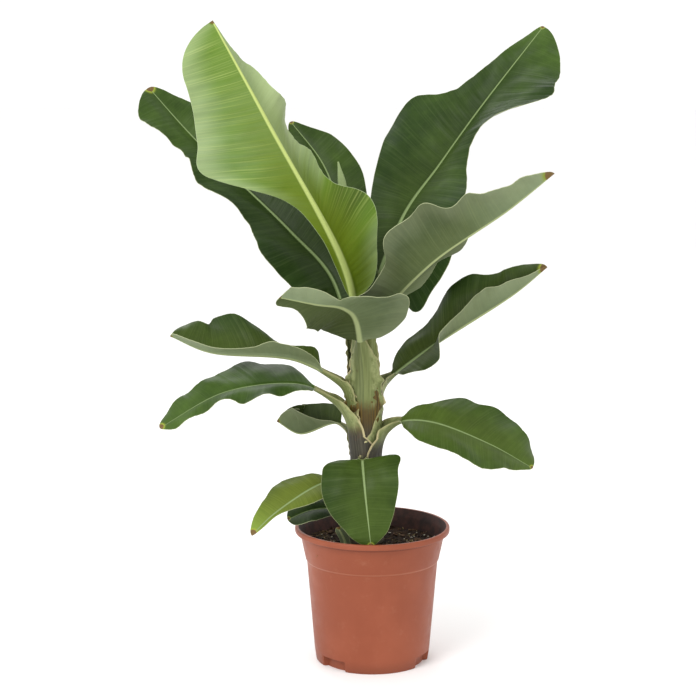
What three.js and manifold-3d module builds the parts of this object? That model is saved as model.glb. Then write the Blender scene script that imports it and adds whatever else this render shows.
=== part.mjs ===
// A young banana plant in a round nursery pot.
// Millimetres, +Z up. The origin is the centre of the pot's flat underside, and -Y is the front.
// The plant is a tapering pseudostem of wrapped leaf sheaths, with one node for each leaf.

import * as THREE from 'three';
import Module from 'manifold-3d';
import { mergeVertices } from 'three/addons/utils/BufferGeometryUtils.js';

const wasm = await Module();
wasm.setup();

// ---------------------------------------------------------------- driving dimensions

const GAP = 0.3; // clearance kept between pieces that touch

const POT = {
  height: 186,
  baseRadius: 76.5,
  notchTopRadius: 78.6,
  stepRadius: 89,
  collarFootRadius: 90.6,
  collarTopRadius: 98.4,
  lipRadius: 105,
  wall: 2.4,
  floor: 4,
  stepHeight: 139,
  lipFoot: 178,
  rimInnerRadius: 100.4,
  notchHeight: 15,
  notchDepth: 6,
  notchWidth: 28, // degrees
  notchAngles: [-134, -26, 64, 154], // degrees, from +X
  notchEdge: 0.4, // degrees over which a notch's side steps in
  undersideInset: 14, // from the base's outer edge to the flat floor's first ring
  slices: 28,
};

const SOIL = {
  top: 170,
  mound: 9, // from its edge at the wall to the level part under the stem
  ripple: 2.2,
  ripples: 5, // round the pot
  twist: 7, // radians the ripples turn from the wall to the stem
  flatRadius: 31, // the level part, wider than the stem's flat cut
  wallRoom: 0.3, // the wall's flat facets come in this much between its corners
  rings: 5,
  slices: 24,
};

// The pseudostem's axis and radius at heights from the flat cut at the soil to its tip.
const STEM = {
  sections: [
    { z: SOIL.top + GAP, x: -11, y: -21, radius: 27 },
    { z: 186, x: -11, y: -21, radius: 24.5 },
    { z: 220, x: -10, y: -21, radius: 22 },
    { z: 285, x: -9, y: -20, radius: 21 },
    { z: 322, x: -10, y: -18, radius: 23 },
    { z: 363, x: -10, y: -15, radius: 26 },
    { z: 404, x: -12, y: -12, radius: 22.5 },
    { z: 431, x: -13, y: -9, radius: 18 },
    { z: 452, x: -14, y: -7, radius: 12 },
    { z: 466, x: -15, y: -6, radius: 6 },
  ],
  slices: 18,
  rings: 18,
  sheathBulge: 3, // how far a leaf's sheath stands out just under its stalk
  sheathSpread: 45, // degrees either side of the stalk
  sheathLength: 70,
  sheathAbove: 12, // how far it reaches above the middle of the stalk's foot
  sheathsEnd: 400, // the leaves that rise from the tip make no bulge
};

const BLADE = {
  thickness: 2,
  ribHalfWidth: 5,
  tipHalfWidth: 1.5,
  stalkStations: 3,
  stalkNarrowing: 0.6, // the share of its foot's width that a stalk keeps at its top
  keelDepth: 1.1, // of a stalk's half width
  flankDepth: 0.8, // of the keel, where the stalk's underside turns up
  widestRib: 0.6, // the most of a narrow half that its rib may take
  baseRounding: 0.16, // share of the blade over which its base rounds out
  rippleGrowth: 1.8, // powers of the share of the half width
  sweepGrowth: 1.3,
  fullRippleWidth: 30, // narrower parts ripple less
};

// Each leaf: the points of its midrib from foot to tip, and the way its upper face looks.
// stalk is the share of its length with no blade, and tipRounding the share that rounds the tip off.
// sweep is how far the margin runs on toward the tip for each millimetre of width.
// Each half has its widths from the blade's base to its tip, its lifts out of flat in degrees, and
// the ripple of its margin as a height in millimetres, a number of waves and a phase in degrees.
const LEAVES = [
  {
    name: 'leaf_young_upper_left',
    midrib: [[-20, -14, 430], [-34, -45, 535], [-138, -110, 745], [-201, -125, 863]],
    face: [[0.6, 0.75, 0.3], [0, 1, 0], [0, 1, 0]],
    stalk: 0.14,
    stalkHalfWidth: 8,
    sweep: [0.4, 0.5, 0.5, 0.5, 0.6],
    tipRounding: 0.15,
    stations: 22,
    left: {
      width: [53, 53, 71, 52, 58, 46, 51, 32, 31, 9, 5],
      lift: [30, 36, 60, 68, 44, 58, 70],
      ripple: [4, 4, 0],
    },
    right: {
      width: [16, 12, 14, 34, 103, 90, 75, 66, 66],
      lift: [0, 0, 5, 5, 0, -5, -10],
      ripple: [4, 3, 90],
    },
  },
  {
    name: 'leaf_upper_left',
    midrib: [[-28, -3, 430], [-55, 28, 520], [-112, 70, 579], [-246, 140, 700], [-310, 160, 769]],
    face: [[0.5, -0.5, 0.7], [0.45, -0.7, 0.5]],
    stalk: 0.12,
    stalkHalfWidth: 7,
    sweep: [-0.2, 0.45, 0.45],
    tipRounding: 0.14,
    stations: 20,
    left: { width: [84, 63, 75, 47, 64, 55, 36, 56, 50], lift: [-15, 10, 10], ripple: [5, 5, 0] },
    right: { width: [82, 52, 60, 66, 43, 19], lift: [50, 42, 30, 15], ripple: [5, 4, 60] },
  },
  {
    name: 'leaf_upper_back',
    midrib: [[-17, 7, 430], [-23, 60, 520], [-41, 122, 590], [-68, 168, 662], [-114, 196, 720]],
    face: [[0, -0.9, 0.4], [0.2, -0.8, 0.6]],
    stalk: 0.2,
    stalkHalfWidth: 7,
    sweep: [0.1, 0.45, 0.45],
    tipRounding: 0.2,
    stations: 16,
    left: { width: [42, 42, 47, 38, 21], lift: [20, 20], ripple: [4, 4, 0] },
    right: { width: [16, 30, 40, 46, 34, 14], lift: [15, 15], ripple: [3, 4, 60] },
  },
  {
    name: 'leaf_upper_right',
    midrib: [[-3, -1, 430], [-4, 20, 478], [42, 85, 597], [94, 130, 665], [150, 165, 739], [240, 190, 853]],
    face: [[-0.5, -0.6, 0.6], [-0.5, -0.7, 0.5]],
    stalk: 0.2,
    stalkHalfWidth: 7,
    sweep: [-0.8, 0.45, 0.45],
    tipRounding: 0.15,
    stations: 22,
    left: {
      width: [16, 27, 44, 68, 96, 98, 57, 43, 27, 21, 12],
      lift: [34, 26, 15, 15, 15],
      ripple: [6, 4, 0],
    },
    right: {
      width: [112, 82, 100, 92, 58, 56, 96, 110, 94, 68, 60],
      lift: [-60, -10, 10, 28, 15, 5, 0],
      ripple: [5, 4, 60],
    },
  },
  {
    name: 'leaf_upper_front_right',
    midrib: [[-5, -14, 428], [9, -32, 473], [72, -90, 554], [170, -145, 632], [222, -160, 677]],
    face: [[-0.3, 0.85, 0.4], [-0.3, 0.85, 0.4]],
    stalk: 0.12,
    stalkHalfWidth: 7,
    sweep: [0.1, 0.45, 0.45],
    tipRounding: 0.2,
    stations: 24,
    left: {
      width: [40, 54, 66, 62, 40, 30, 20],
      lift: [40, 40, 42, 60, 75, 70, 60],
      ripple: [4, 5, 0],
    },
    right: {
      width: [50, 56, 46, 48, 88, 76, 88, 56, 54, 48, 27, 34, 20],
      lift: [0, 0],
      ripple: [7, 5, 30],
    },
  },
  {
    name: 'leaf_middle_front',
    midrib: [[-12, -30, 385], [-22, -55, 474], [-38, -95, 498], [-75, -150, 512], [-118, -168, 523]],
    face: [[0.1, 0.6, 0.8], [0, 0, 1]],
    stalk: 0.24,
    stalkHalfWidth: 7,
    sweep: [0, 0.3, 0.3, 0.6, 2.2],
    tipRounding: 0.06,
    stations: 18,
    left: { width: [46, 70, 82, 58, 28, 34, 34, 42], lift: [-5, 10, 22, 30], ripple: [3, 4, 0] },
    right: {
      width: [33, 44, 46, 44, 43, 26, 18, 24],
      lift: [-15, -40, -45, -30],
      ripple: [3, 4, 60],
    },
  },
  {
    name: 'leaf_middle_left',
    midrib: [[-24, -14, 361], [-37, -20, 380], [-100, -42, 421], [-216, -48, 433], [-267, -40, 453]],
    face: [[0.3, 0, 0.9], [0, -0.1, 1]],
    stalk: 0.24,
    stalkHalfWidth: 8,
    sweep: [0.1, 0.45, 0.3],
    tipRounding: 0.13,
    stations: 18,
    left: { width: [14, 24, 36, 19, 16, 16, 20, 22], lift: [45, 45, 40], ripple: [1.5, 3, 0] },
    right: {
      width: [50, 24, 24, 54, 69, 66, 44, 42, 38],
      lift: [45, 40, 36, 34, 34],
      ripple: [5, 3, -40],
    },
  },
  {
    name: 'leaf_middle_right',
    midrib: [[6, -6, 357], [17, 14, 378], [70, 26, 420], [190, 2, 504], [231, -5, 540]],
    face: [[-0.3, -0.1, 0.9], [-0.3, -0.1, 0.9]],
    stalk: 0.16,
    stalkHalfWidth: 7,
    sweep: [0.1, 0.45, 0.45],
    tipRounding: 0.2,
    stations: 20,
    left: {
      width: [32, 38, 43, 61, 64, 50, 39, 36, 26],
      lift: [15, 30, 45, 45, 40, 35],
      ripple: [4, 3, 0],
    },
    right: {
      width: [24, 38, 52, 26, 28, 34, 26, 15, 12],
      lift: [-15, -8, 52, 66, 60, 50],
      ripple: [2, 4, 0],
    },
  },
  {
    name: 'leaf_lower_left',
    midrib: [[-28, -18, 342], [-70, -40, 378], [-99, -50, 391], [-193, -75, 385], [-278, -90, 340]],
    face: [[0.3, -0.1, 0.9], [-0.2, -0.4, 0.9]],
    stalk: 0.24,
    stalkHalfWidth: 7,
    sweep: [0.1, 0.45, 0.45],
    tipRounding: 0.2,
    stations: 18,
    left: { width: [40, 24, 31, 40, 25, 21, 19, 21, 16], lift: [0, 0], ripple: [5, 4, 0] },
    right: { width: [56, 60, 62, 54, 42, 36, 32, 27, 22], lift: [0, 5, 5], ripple: [2, 4, 0] },
  },
  {
    name: 'leaf_lower_right',
    midrib: [[6, -18, 307], [36, -35, 336], [75, -50, 340], [153, -70, 314], [209, -80, 284]],
    face: [[-0.2, -0.2, 0.9], [0.2, -0.2, 0.9]],
    stalk: 0.2,
    stalkHalfWidth: 6.5,
    sweep: [0.1, 0.45, 0.45],
    tipRounding: 0.2,
    stations: 18,
    left: { width: [35, 30, 62, 56, 64, 63, 50, 48, 44], lift: [15, 20, 14], ripple: [5, 3, 0] },
    right: { width: [24, 43, 48, 54, 49, 32, 18], lift: [-15, -10, -5], ripple: [2, 3, 0] },
  },
  {
    name: 'leaf_small_back_left',
    midrib: [[-26, -8, 312], [-50, 26, 322], [-100, 55, 301], [-131, 62, 317]],
    face: [[0, -0.1, 1], [0, -0.1, 1]],
    stalk: 0.25,
    stalkHalfWidth: 5,
    sweep: [0.1, 0.1, 0.1],
    tipRounding: 0.16,
    stations: 14,
    left: {
      width: [8, 8, 16, 46, 44, 40, 38, 36, 34],
      lift: [30, 50, 70, 78, 78],
      ripple: [1, 2, 0],
    },
    right: { width: [24, 36, 43, 40, 34], lift: [50, 60], ripple: [1, 2, 90] },
  },
  {
    name: 'leaf_hanging_front',
    midrib: [[-12, -36, 273], [-14, -46, 288], [-11, -81, 256], [-3, -92, 182]],
    face: [[0, -0.3, 0.9], [0, -0.95, 0.3]],
    stalk: 0.16,
    stalkHalfWidth: 7,
    sweep: [-0.2, 0.2, 0.2],
    tipRounding: 0.2,
    stations: 16,
    left: { width: [66, 48, 45, 39, 33, 25, 16], lift: [10, 2, 0], ripple: [0, 1, 0] },
    right: { width: [50, 54, 57, 50, 39, 28, 22], lift: [0, 0], ripple: [0, 1, 0] },
  },
  {
    name: 'leaf_low_left',
    midrib: [[-28, -22, 240], [-46, -35, 254], [-68, -50, 256], [-129, -75, 222], [-160, -80, 193]],
    face: [[0, -0.3, 0.9], [-0.4, -0.6, 0.6]],
    stalk: 0.2,
    stalkHalfWidth: 5,
    sweep: [0, 0.3, 0.3],
    tipRounding: 0.2,
    stations: 14,
    left: { width: [28, 30, 25, 14, 6, 5, 4], lift: [0, 0], ripple: [0, 1, 0] },
    right: { width: [20, 31, 41, 32, 22, 16], lift: [0, 0], ripple: [0, 1, 0] },
  },
  {
    name: 'leaf_basal_left',
    midrib: [[-30, -18, 192], [-52, -22, 213], [-82, -28, 214], [-114, -32, 202]],
    face: [[0, -0.4, 0.9], [-0.3, -0.4, 0.8]],
    stalk: 0.25,
    stalkHalfWidth: 4,
    sweep: [0, 0.3, 0.3],
    tipRounding: 0.2,
    stations: 12,
    left: { width: [14, 26, 20], lift: [5, 5], ripple: [0, 1, 0] },
    right: { width: [18, 22, 18], lift: [5, 5], ripple: [0, 1, 0] },
  },
  {
    name: 'leaf_small_sprout',
    midrib: [[-33, -48, 158], [-38, -60, 182], [-46, -73, 202]],
    face: [[0, 1, 0.2], [0, 1, 0.2]],
    stalk: 0.2,
    stalkHalfWidth: 4,
    sweep: [0, 0.3, 0.3],
    tipRounding: 0.4,
    stations: 10,
    left: { width: [7, 8, 8], lift: [30, 30], ripple: [0, 1, 0] },
    right: { width: [7, 8, 8], lift: [30, 30], ripple: [0, 1, 0] },
  },
];

// The newest leaf, still rolled into a spear.
const SPEAR = {
  axis: [[-15, -6, 466 + GAP], [-22, -1, 510], [-32, 4, 590], [-39, 7, 640], [-46, 10, 678]],
  radii: [5, 6, 6.5, 6.5, 6.3, 6, 5.8, 5.4, 1.2],
  rings: 12,
  slices: 12,
};

// ---------------------------------------------------------------- materials

function finish(colour, roughness) {
  return new THREE.MeshStandardMaterial({ color: colour, roughness, metalness: 0 });
}

const MATERIALS = {
  pot: finish(0xa86048, 0.45),
  soil: finish(0x3a2c22, 0.95),
  stem: finish(0x7f8255, 0.6),
  leaf: finish(0x456034, 0.4),
  youngLeaf: finish(0x86ab58, 0.45),
};

// ---------------------------------------------------------------- shared shape helpers

const radians = THREE.MathUtils.degToRad;

// Smooth value at t (0 to 1) of a list of evenly spaced numbers.
function smoothValue(values, t) {
  const last = values.length - 1;
  const place = THREE.MathUtils.clamp(t, 0, 1) * last;
  const i = Math.min(Math.floor(place), last - 1);
  const f = place - i;
  const before = values[Math.max(i - 1, 0)];
  const after = values[Math.min(i + 2, last)];
  const startSlope = (values[i + 1] - before) / 2;
  const endSlope = (after - values[i]) / 2;
  return (2 * f ** 3 - 3 * f ** 2 + 1) * values[i] + (f ** 3 - 2 * f ** 2 + f) * startSlope
    + (3 * f ** 2 - 2 * f ** 3) * values[i + 1] + (f ** 3 - f ** 2) * endSlope;
}

function smoothVector(vectors, t) {
  const axis = (k) => smoothValue(vectors.map((v) => v[k]), t);
  return new THREE.Vector3(axis(0), axis(1), axis(2));
}

function curveThrough(points) {
  return new THREE.CatmullRomCurve3(points.map((p) => new THREE.Vector3(...p)), false, 'centripetal');
}

// A closed solid through rings of equal length, with a fan over each end ring.
function loft(rings) {
  const size = rings[0].length;
  const vertices = rings.flat();
  const faces = [];
  for (let r = 0; r + 1 < rings.length; r += 1) {
    for (let k = 0; k < size; k += 1) {
      const a = r * size + k;
      const b = r * size + ((k + 1) % size);
      faces.push([a, b, b + size], [a, b + size, a + size]);
    }
  }
  for (const [ring, turn] of [[0, 1], [rings.length - 1, -1]]) {
    const middle = new THREE.Vector3();
    rings[ring].forEach((p) => middle.add(p));
    vertices.push(middle.divideScalar(size));
    const hub = vertices.length - 1;
    for (let k = 0; k < size; k += 1) {
      const a = ring * size + k;
      const b = ring * size + ((k + 1) % size);
      faces.push(turn > 0 ? [hub, b, a] : [hub, a, b]);
    }
  }
  const geometry = new THREE.BufferGeometry();
  const numbers = vertices.flatMap((v) => v.toArray());
  geometry.setAttribute('position', new THREE.Float32BufferAttribute(numbers, 3));
  geometry.setIndex(faces.flat());
  return facingOut(geometry);
}

// Turns every face over if the closed surface encloses a negative volume.
function facingOut(geometry) {
  const position = geometry.getAttribute('position');
  const index = geometry.getIndex();
  const corner = (i) => new THREE.Vector3().fromBufferAttribute(position, index.getX(i));
  let volume = 0;
  for (let i = 0; i < index.count; i += 3) {
    volume += corner(i).dot(corner(i + 1).cross(corner(i + 2)));
  }
  if (volume < 0) {
    for (let i = 0; i < index.count; i += 3) {
      const second = index.getX(i + 1);
      index.setX(i + 1, index.getX(i + 2));
      index.setX(i + 2, second);
    }
  }
  return geometry;
}

function toSolid(geometry) {
  const merged = mergeVertices(geometry, 1e-4);
  return new wasm.Manifold(new wasm.Mesh({
    numProp: 3,
    vertProperties: new Float32Array(merged.getAttribute('position').array),
    triVerts: new Uint32Array(merged.getIndex().array),
  }));
}

function toGeometry(solid) {
  const mesh = solid.getMesh();
  const geometry = new THREE.BufferGeometry();
  geometry.setAttribute('position', new THREE.Float32BufferAttribute(mesh.vertProperties, 3));
  geometry.setIndex(Array.from(mesh.triVerts));
  return geometry;
}

// The largest single body of a solid, so that a cut leaves no loose crumbs.
function mainBody(solid) {
  const bodies = solid.decompose();
  return bodies.reduce((best, body) => (body.volume() > best.volume() ? body : best));
}

// ---------------------------------------------------------------- pot and soil

// The angles round the pot, with a close pair at each side of every foot notch.
function potAngles() {
  const angles = [];
  for (let k = 0; k < POT.slices; k += 1) {
    angles.push((360 / POT.slices) * k);
  }
  for (const middle of POT.notchAngles) {
    for (const side of [-1, 1]) {
      const edge = middle + (side * POT.notchWidth) / 2;
      angles.push((edge - POT.notchEdge + 360) % 360, (edge + POT.notchEdge + 360) % 360);
    }
  }
  return angles.sort((a, b) => a - b);
}

function inNotch(angle) {
  return POT.notchAngles.some((middle) => {
    const away = Math.abs(((angle - middle + 540) % 360) - 180);
    return away < POT.notchWidth / 2;
  });
}

// The pot's closed profile as [radius, height, radius in a notch], from the underside round the rim.
function potProfile() {
  const inner = (radius) => radius - POT.wall;
  const set = (radius, z) => [radius, z, radius];
  return [
    set(POT.baseRadius - POT.undersideInset, 0),
    [POT.baseRadius, 0, POT.baseRadius - POT.notchDepth],
    [POT.notchTopRadius - 0.1, POT.notchHeight - 0.5, POT.baseRadius - POT.notchDepth],
    set(POT.notchTopRadius, POT.notchHeight),
    set(POT.stepRadius, POT.stepHeight),
    set(POT.collarFootRadius, POT.stepHeight + 2.5),
    set(POT.collarTopRadius, POT.lipFoot - 1),
    set(POT.lipRadius - 1, POT.lipFoot),
    set(POT.lipRadius, POT.lipFoot + 1.5),
    set(POT.lipRadius, POT.height - 1.5),
    set(POT.lipRadius - 1.5, POT.height),
    set(POT.rimInnerRadius + 1, POT.height),
    set(POT.rimInnerRadius, POT.height - 1),
    set(inner(POT.collarTopRadius), POT.lipFoot - 1),
    set(inner(POT.stepRadius), POT.stepHeight),
    set(inner(POT.notchTopRadius) - POT.notchDepth, POT.notchHeight + POT.wall),
    set(inner(POT.baseRadius) - POT.notchDepth, POT.floor),
  ];
}

function makePot() {
  const angles = potAngles();
  const rings = potProfile().map(([radius, z, notchRadius]) => angles.map((angle) => {
    const r = inNotch(angle) ? notchRadius : radius;
    return new THREE.Vector3(r * Math.cos(radians(angle)), r * Math.sin(radians(angle)), z);
  }));
  return loft(rings);
}

// The radius of the pot's inner wall at a height, and the heights where its slope changes.
function potInside() {
  return [
    [POT.floor, POT.baseRadius - POT.notchDepth - POT.wall],
    [POT.notchHeight + POT.wall, POT.notchTopRadius - POT.notchDepth - POT.wall],
    [POT.stepHeight, POT.stepRadius - POT.wall],
    [POT.lipFoot - 1, POT.collarTopRadius - POT.wall],
  ];
}

function insideRadius(z) {
  const wall = potInside();
  let i = 0;
  while (i < wall.length - 2 && z > wall[i + 1][0]) {
    i += 1;
  }
  const t = (z - wall[i][0]) / (wall[i + 1][0] - wall[i][0]);
  return THREE.MathUtils.lerp(wall[i][1], wall[i + 1][1], t);
}

// The soil fills the pot to a low, uneven mound round the flat cut of the stem.
function makeSoil() {
  const rings = [];
  const [foot] = STEM.sections;
  const addRing = (radius, share, height) => {
    const ring = [];
    for (let k = 0; k < SOIL.slices; k += 1) {
      const angle = (2 * Math.PI * k) / SOIL.slices;
      const x = foot.x * share + radius * Math.cos(angle);
      const y = foot.y * share + radius * Math.sin(angle);
      ring.push(new THREE.Vector3(x, y, height(angle)));
    }
    rings.push(ring);
  };
  const edge = SOIL.top - SOIL.mound;
  for (const z of [POT.floor + GAP, POT.notchHeight + POT.wall, POT.stepHeight, edge]) {
    addRing(insideRadius(z) - 2 * GAP - SOIL.wallRoom, 0, () => z);
  }
  for (let k = 1; k < SOIL.rings; k += 1) {
    const t = k / SOIL.rings;
    const radius = THREE.MathUtils.lerp(insideRadius(edge) - 2, SOIL.flatRadius, t);
    const rise = edge + SOIL.mound * t * t;
    addRing(radius, t, (angle) => rise + SOIL.ripple * (1 - t) * Math.sin(SOIL.ripples * angle + SOIL.twist * t));
  }
  addRing(SOIL.flatRadius, 1, () => SOIL.top);
  return loft(rings);
}

// ---------------------------------------------------------------- pseudostem and rolled leaf

// How far the stem stands out at an angle and height, where a leaf's sheath wraps it.
function sheathBulge(angle, z) {
  let bulge = 0;
  for (const leaf of LEAVES) {
    const [foot, next] = leaf.midrib;
    const toLeaf = Math.atan2(next[1] - foot[1], next[0] - foot[0]);
    const away = Math.acos(Math.cos(angle - toLeaf));
    const below = foot[2] + STEM.sheathAbove - z;
    const wrapped = away < radians(STEM.sheathSpread) && below > 0 && below < STEM.sheathLength;
    if (wrapped && foot[2] < STEM.sheathsEnd) {
      const round = Math.cos((away / radians(STEM.sheathSpread)) * (Math.PI / 2)) ** 2;
      const fade = Math.sin((Math.PI * below) / STEM.sheathLength);
      bulge = Math.max(bulge, STEM.sheathBulge * round * fade);
    }
  }
  return bulge;
}

function stemAt(z) {
  const list = STEM.sections;
  let i = 0;
  while (i < list.length - 2 && z > list[i + 1].z) {
    i += 1;
  }
  const t = (z - list[i].z) / (list[i + 1].z - list[i].z);
  const ease = t * t * (3 - 2 * t);
  const mix = (key) => THREE.MathUtils.lerp(list[i][key], list[i + 1][key], ease);
  return { x: mix('x'), y: mix('y'), radius: mix('radius') };
}

// The stem grown by a clearance, which is nothing for the stem itself.
function makeStem(clearance) {
  const bottom = STEM.sections[0].z;
  const top = STEM.sections.at(-1).z;
  const rings = [];
  for (let r = 0; r <= STEM.rings; r += 1) {
    const z = THREE.MathUtils.lerp(bottom, top, r / STEM.rings);
    const { x, y, radius } = stemAt(z);
    const ring = [];
    for (let k = 0; k < STEM.slices; k += 1) {
      const angle = (2 * Math.PI * k) / STEM.slices;
      const reach = radius + sheathBulge(angle, z) + clearance;
      const lift = r === STEM.rings ? clearance : 0;
      ring.push(new THREE.Vector3(x + reach * Math.cos(angle), y + reach * Math.sin(angle), z + lift));
    }
    rings.push(ring);
  }
  return loft(rings);
}

function makeSpear() {
  const curve = curveThrough(SPEAR.axis);
  const rings = [];
  for (let r = 0; r <= SPEAR.rings; r += 1) {
    const s = r / SPEAR.rings;
    const point = curve.getPointAt(s);
    const radius = smoothValue(SPEAR.radii, s);
    const tangent = r === 0 ? new THREE.Vector3(0, 0, 1) : curve.getTangentAt(s);
    const side = new THREE.Vector3(0, 1, 0).cross(tangent).normalize();
    const front = tangent.clone().cross(side);
    const ring = [];
    for (let k = 0; k < SPEAR.slices; k += 1) {
      const angle = (2 * Math.PI * k) / SPEAR.slices;
      ring.push(point.clone()
        .addScaledVector(side, radius * Math.cos(angle))
        .addScaledVector(front, radius * Math.sin(angle)));
    }
    rings.push(ring);
  }
  return loft(rings);
}

// ---------------------------------------------------------------- leaves

// The frame of the midrib at s: its point, tangent, the way the upper face looks, and the right side.
function leafFrame(leaf, curve, s) {
  const point = curve.getPointAt(s);
  const tangent = curve.getTangentAt(s);
  const up = smoothVector(leaf.face, s);
  up.addScaledVector(tangent, -up.dot(tangent)).normalize();
  return { point, tangent, up, right: tangent.clone().cross(up) };
}

function halfWidth(leaf, side, q) {
  const fromBase = Math.min(q / BLADE.baseRounding, 1);
  const fromTip = Math.min((1 - q) / leaf.tipRounding, 1);
  const rounding = Math.sqrt((1 - (1 - fromBase) ** 2) * (1 - (1 - fromTip) ** 2));
  return smoothValue(leaf[side].width, q) * rounding;
}

// The half width of the stalk and rib, from the broad foot to the tip.
function stalkWidth(leaf, s) {
  const foot = leaf.stalkHalfWidth;
  const top = foot * BLADE.stalkNarrowing;
  if (s < leaf.stalk) {
    return THREE.MathUtils.lerp(foot, top, s / leaf.stalk);
  }
  return THREE.MathUtils.lerp(top, BLADE.tipHalfWidth, (s - leaf.stalk) / (1 - leaf.stalk));
}

// A point of one half of the blade: share is 0 at the midrib and 1 at the margin, and depth is how
// far it lies under the middle of the blade's thickness.
function bladePoint(leaf, frame, side, q, width, share, depth) {
  const half = leaf[side];
  const sign = side === 'right' ? 1 : -1;
  const lift = radians(smoothValue(half.lift, q));
  const [size, count, phase] = half.ripple;
  const height = size * share ** BLADE.rippleGrowth * Math.min(1, width / BLADE.fullRippleWidth);
  const wave = height * Math.sin(2 * Math.PI * count * q + radians(phase));
  const advance = smoothValue(leaf.sweep, q) * (1 - q ** 3) * width * share ** BLADE.sweepGrowth;
  const outward = frame.right.clone().multiplyScalar(sign * Math.cos(lift));
  outward.addScaledVector(frame.up, Math.sin(lift));
  const normal = frame.right.clone().multiplyScalar(-sign * Math.sin(lift));
  normal.addScaledVector(frame.up, Math.cos(lift));
  return frame.point.clone()
    .addScaledVector(outward, width * share)
    .addScaledVector(frame.tangent, advance)
    .addScaledVector(normal, wave - depth);
}

// One closed section of the leaf: along its upper face from left to right, and back underneath,
// where the midrib stands out as a keel. The whole section is thicker by a clearance on each side.
function leafSection(leaf, curve, s, clearance) {
  const q = THREE.MathUtils.clamp((s - leaf.stalk) / (1 - leaf.stalk), 0, 1);
  const frame = leafFrame(leaf, curve, s);
  const stalk = stalkWidth(leaf, s);
  const onStalk = s < leaf.stalk;
  const widths = {
    left: Math.max(onStalk ? 0 : halfWidth(leaf, 'left', q), stalk) + clearance,
    right: Math.max(onStalk ? 0 : halfWidth(leaf, 'right', q), stalk) + clearance,
  };
  const skin = BLADE.thickness / 2 + clearance;
  const rib = onStalk ? stalk * BLADE.keelDepth : THREE.MathUtils.lerp(stalk, 1, q);
  const keel = rib + skin;
  const at = (side, share, depth) => bladePoint(leaf, frame, side, q, widths[side], share, depth);
  const ribShare = (side) => Math.min(BLADE.widestRib, BLADE.ribHalfWidth / widths[side]);
  const flank = onStalk ? keel * BLADE.flankDepth : skin;
  return [
    at('left', 1, -skin),
    at('left', 0.5, -skin),
    at('right', 0, -skin),
    at('right', 0.5, -skin),
    at('right', 1, -skin),
    at('right', 1, skin),
    at('right', ribShare('right'), flank),
    at('right', 0, keel),
    at('left', ribShare('left'), flank),
    at('left', 1, skin),
  ];
}

// Stations along the leaf: evenly up the stalk, then closer together at the blade's two ends.
function leafStations(leaf) {
  const stations = [];
  for (let k = 0; k < BLADE.stalkStations; k += 1) {
    stations.push((leaf.stalk * k) / BLADE.stalkStations);
  }
  for (let k = 0; k <= leaf.stations; k += 1) {
    const even = k / leaf.stations;
    const eased = (1 - Math.cos(Math.PI * even)) / 2;
    stations.push(THREE.MathUtils.lerp(leaf.stalk, 1, (even + eased) / 2));
  }
  return stations;
}

function makeLeaf(leaf, clearance = 0) {
  const curve = curveThrough(leaf.midrib);
  return loft(leafStations(leaf).map((s) => leafSection(leaf, curve, s, clearance)));
}

// Each leaf is cut back to the stem and the soil, so that its foot lies against what carries it.
function makeLeaves() {
  const room = toSolid(makeStem(GAP)).add(toSolid(makeSoil()).translate(0, 0, GAP));
  return LEAVES.map((leaf) => {
    const solid = toSolid(makeLeaf(leaf)).subtract(room);
    return { name: leaf.name, geometry: toGeometry(mainBody(solid)) };
  });
}

// ---------------------------------------------------------------- assembly

const group = new THREE.Group();

function addMesh(name, geometry, material) {
  geometry.computeVertexNormals();
  const mesh = new THREE.Mesh(geometry, material);
  mesh.name = name;
  group.add(mesh);
}

addMesh('pot', makePot(), MATERIALS.pot);
addMesh('soil', makeSoil(), MATERIALS.soil);
addMesh('pseudostem', makeStem(0), MATERIALS.stem);
addMesh('leaf_rolled_new', makeSpear(), MATERIALS.youngLeaf);
for (const { name, geometry } of makeLeaves()) {
  addMesh(name, geometry, name.includes('young') ? MATERIALS.youngLeaf : MATERIALS.leaf);
}

export default group;
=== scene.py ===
"""A young banana plant in a nursery pot: the looks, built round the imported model.

Blender's units are metres. The plant's own tables are in millimetres, as in the CAD source, and
MM turns them into metres when a mesh is made. +Z is up and -Y is the front.
"""

import math

import bpy
import numpy as np
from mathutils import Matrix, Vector


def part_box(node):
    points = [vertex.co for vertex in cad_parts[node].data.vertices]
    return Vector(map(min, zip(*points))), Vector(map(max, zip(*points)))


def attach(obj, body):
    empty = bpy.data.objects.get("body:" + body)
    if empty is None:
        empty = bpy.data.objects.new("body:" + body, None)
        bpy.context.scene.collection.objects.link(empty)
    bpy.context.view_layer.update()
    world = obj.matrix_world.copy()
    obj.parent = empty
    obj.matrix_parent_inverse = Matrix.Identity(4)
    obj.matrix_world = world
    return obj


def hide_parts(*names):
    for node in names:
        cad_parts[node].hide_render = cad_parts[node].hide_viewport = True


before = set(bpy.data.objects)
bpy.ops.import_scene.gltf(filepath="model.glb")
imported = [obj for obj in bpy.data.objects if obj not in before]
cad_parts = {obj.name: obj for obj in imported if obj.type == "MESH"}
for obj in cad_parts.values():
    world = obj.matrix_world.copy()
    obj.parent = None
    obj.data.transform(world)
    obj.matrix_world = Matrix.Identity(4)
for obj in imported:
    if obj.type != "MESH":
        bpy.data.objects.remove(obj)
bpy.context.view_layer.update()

MM = 0.001
BODY = "root"

# ---------------------------------------------------------------- driving values

# The pseudostem's height, axis and radius, from the soil to the tip. The foot follows the CAD.
SOIL_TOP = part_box("pseudostem")[0].z / MM
STEM_SECTIONS = [
    (SOIL_TOP, -11, -21, 27),
    (186, -11, -21, 24.5),
    (220, -10, -21, 22),
    (285, -9, -20, 21),
    (322, -10, -18, 23),
    (363, -10, -15, 26),
    (404, -12, -12, 22.5),
    (431, -13, -9, 18),
    (452, -14, -7, 12),
    (466, -15, -6, 6),
]

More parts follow.
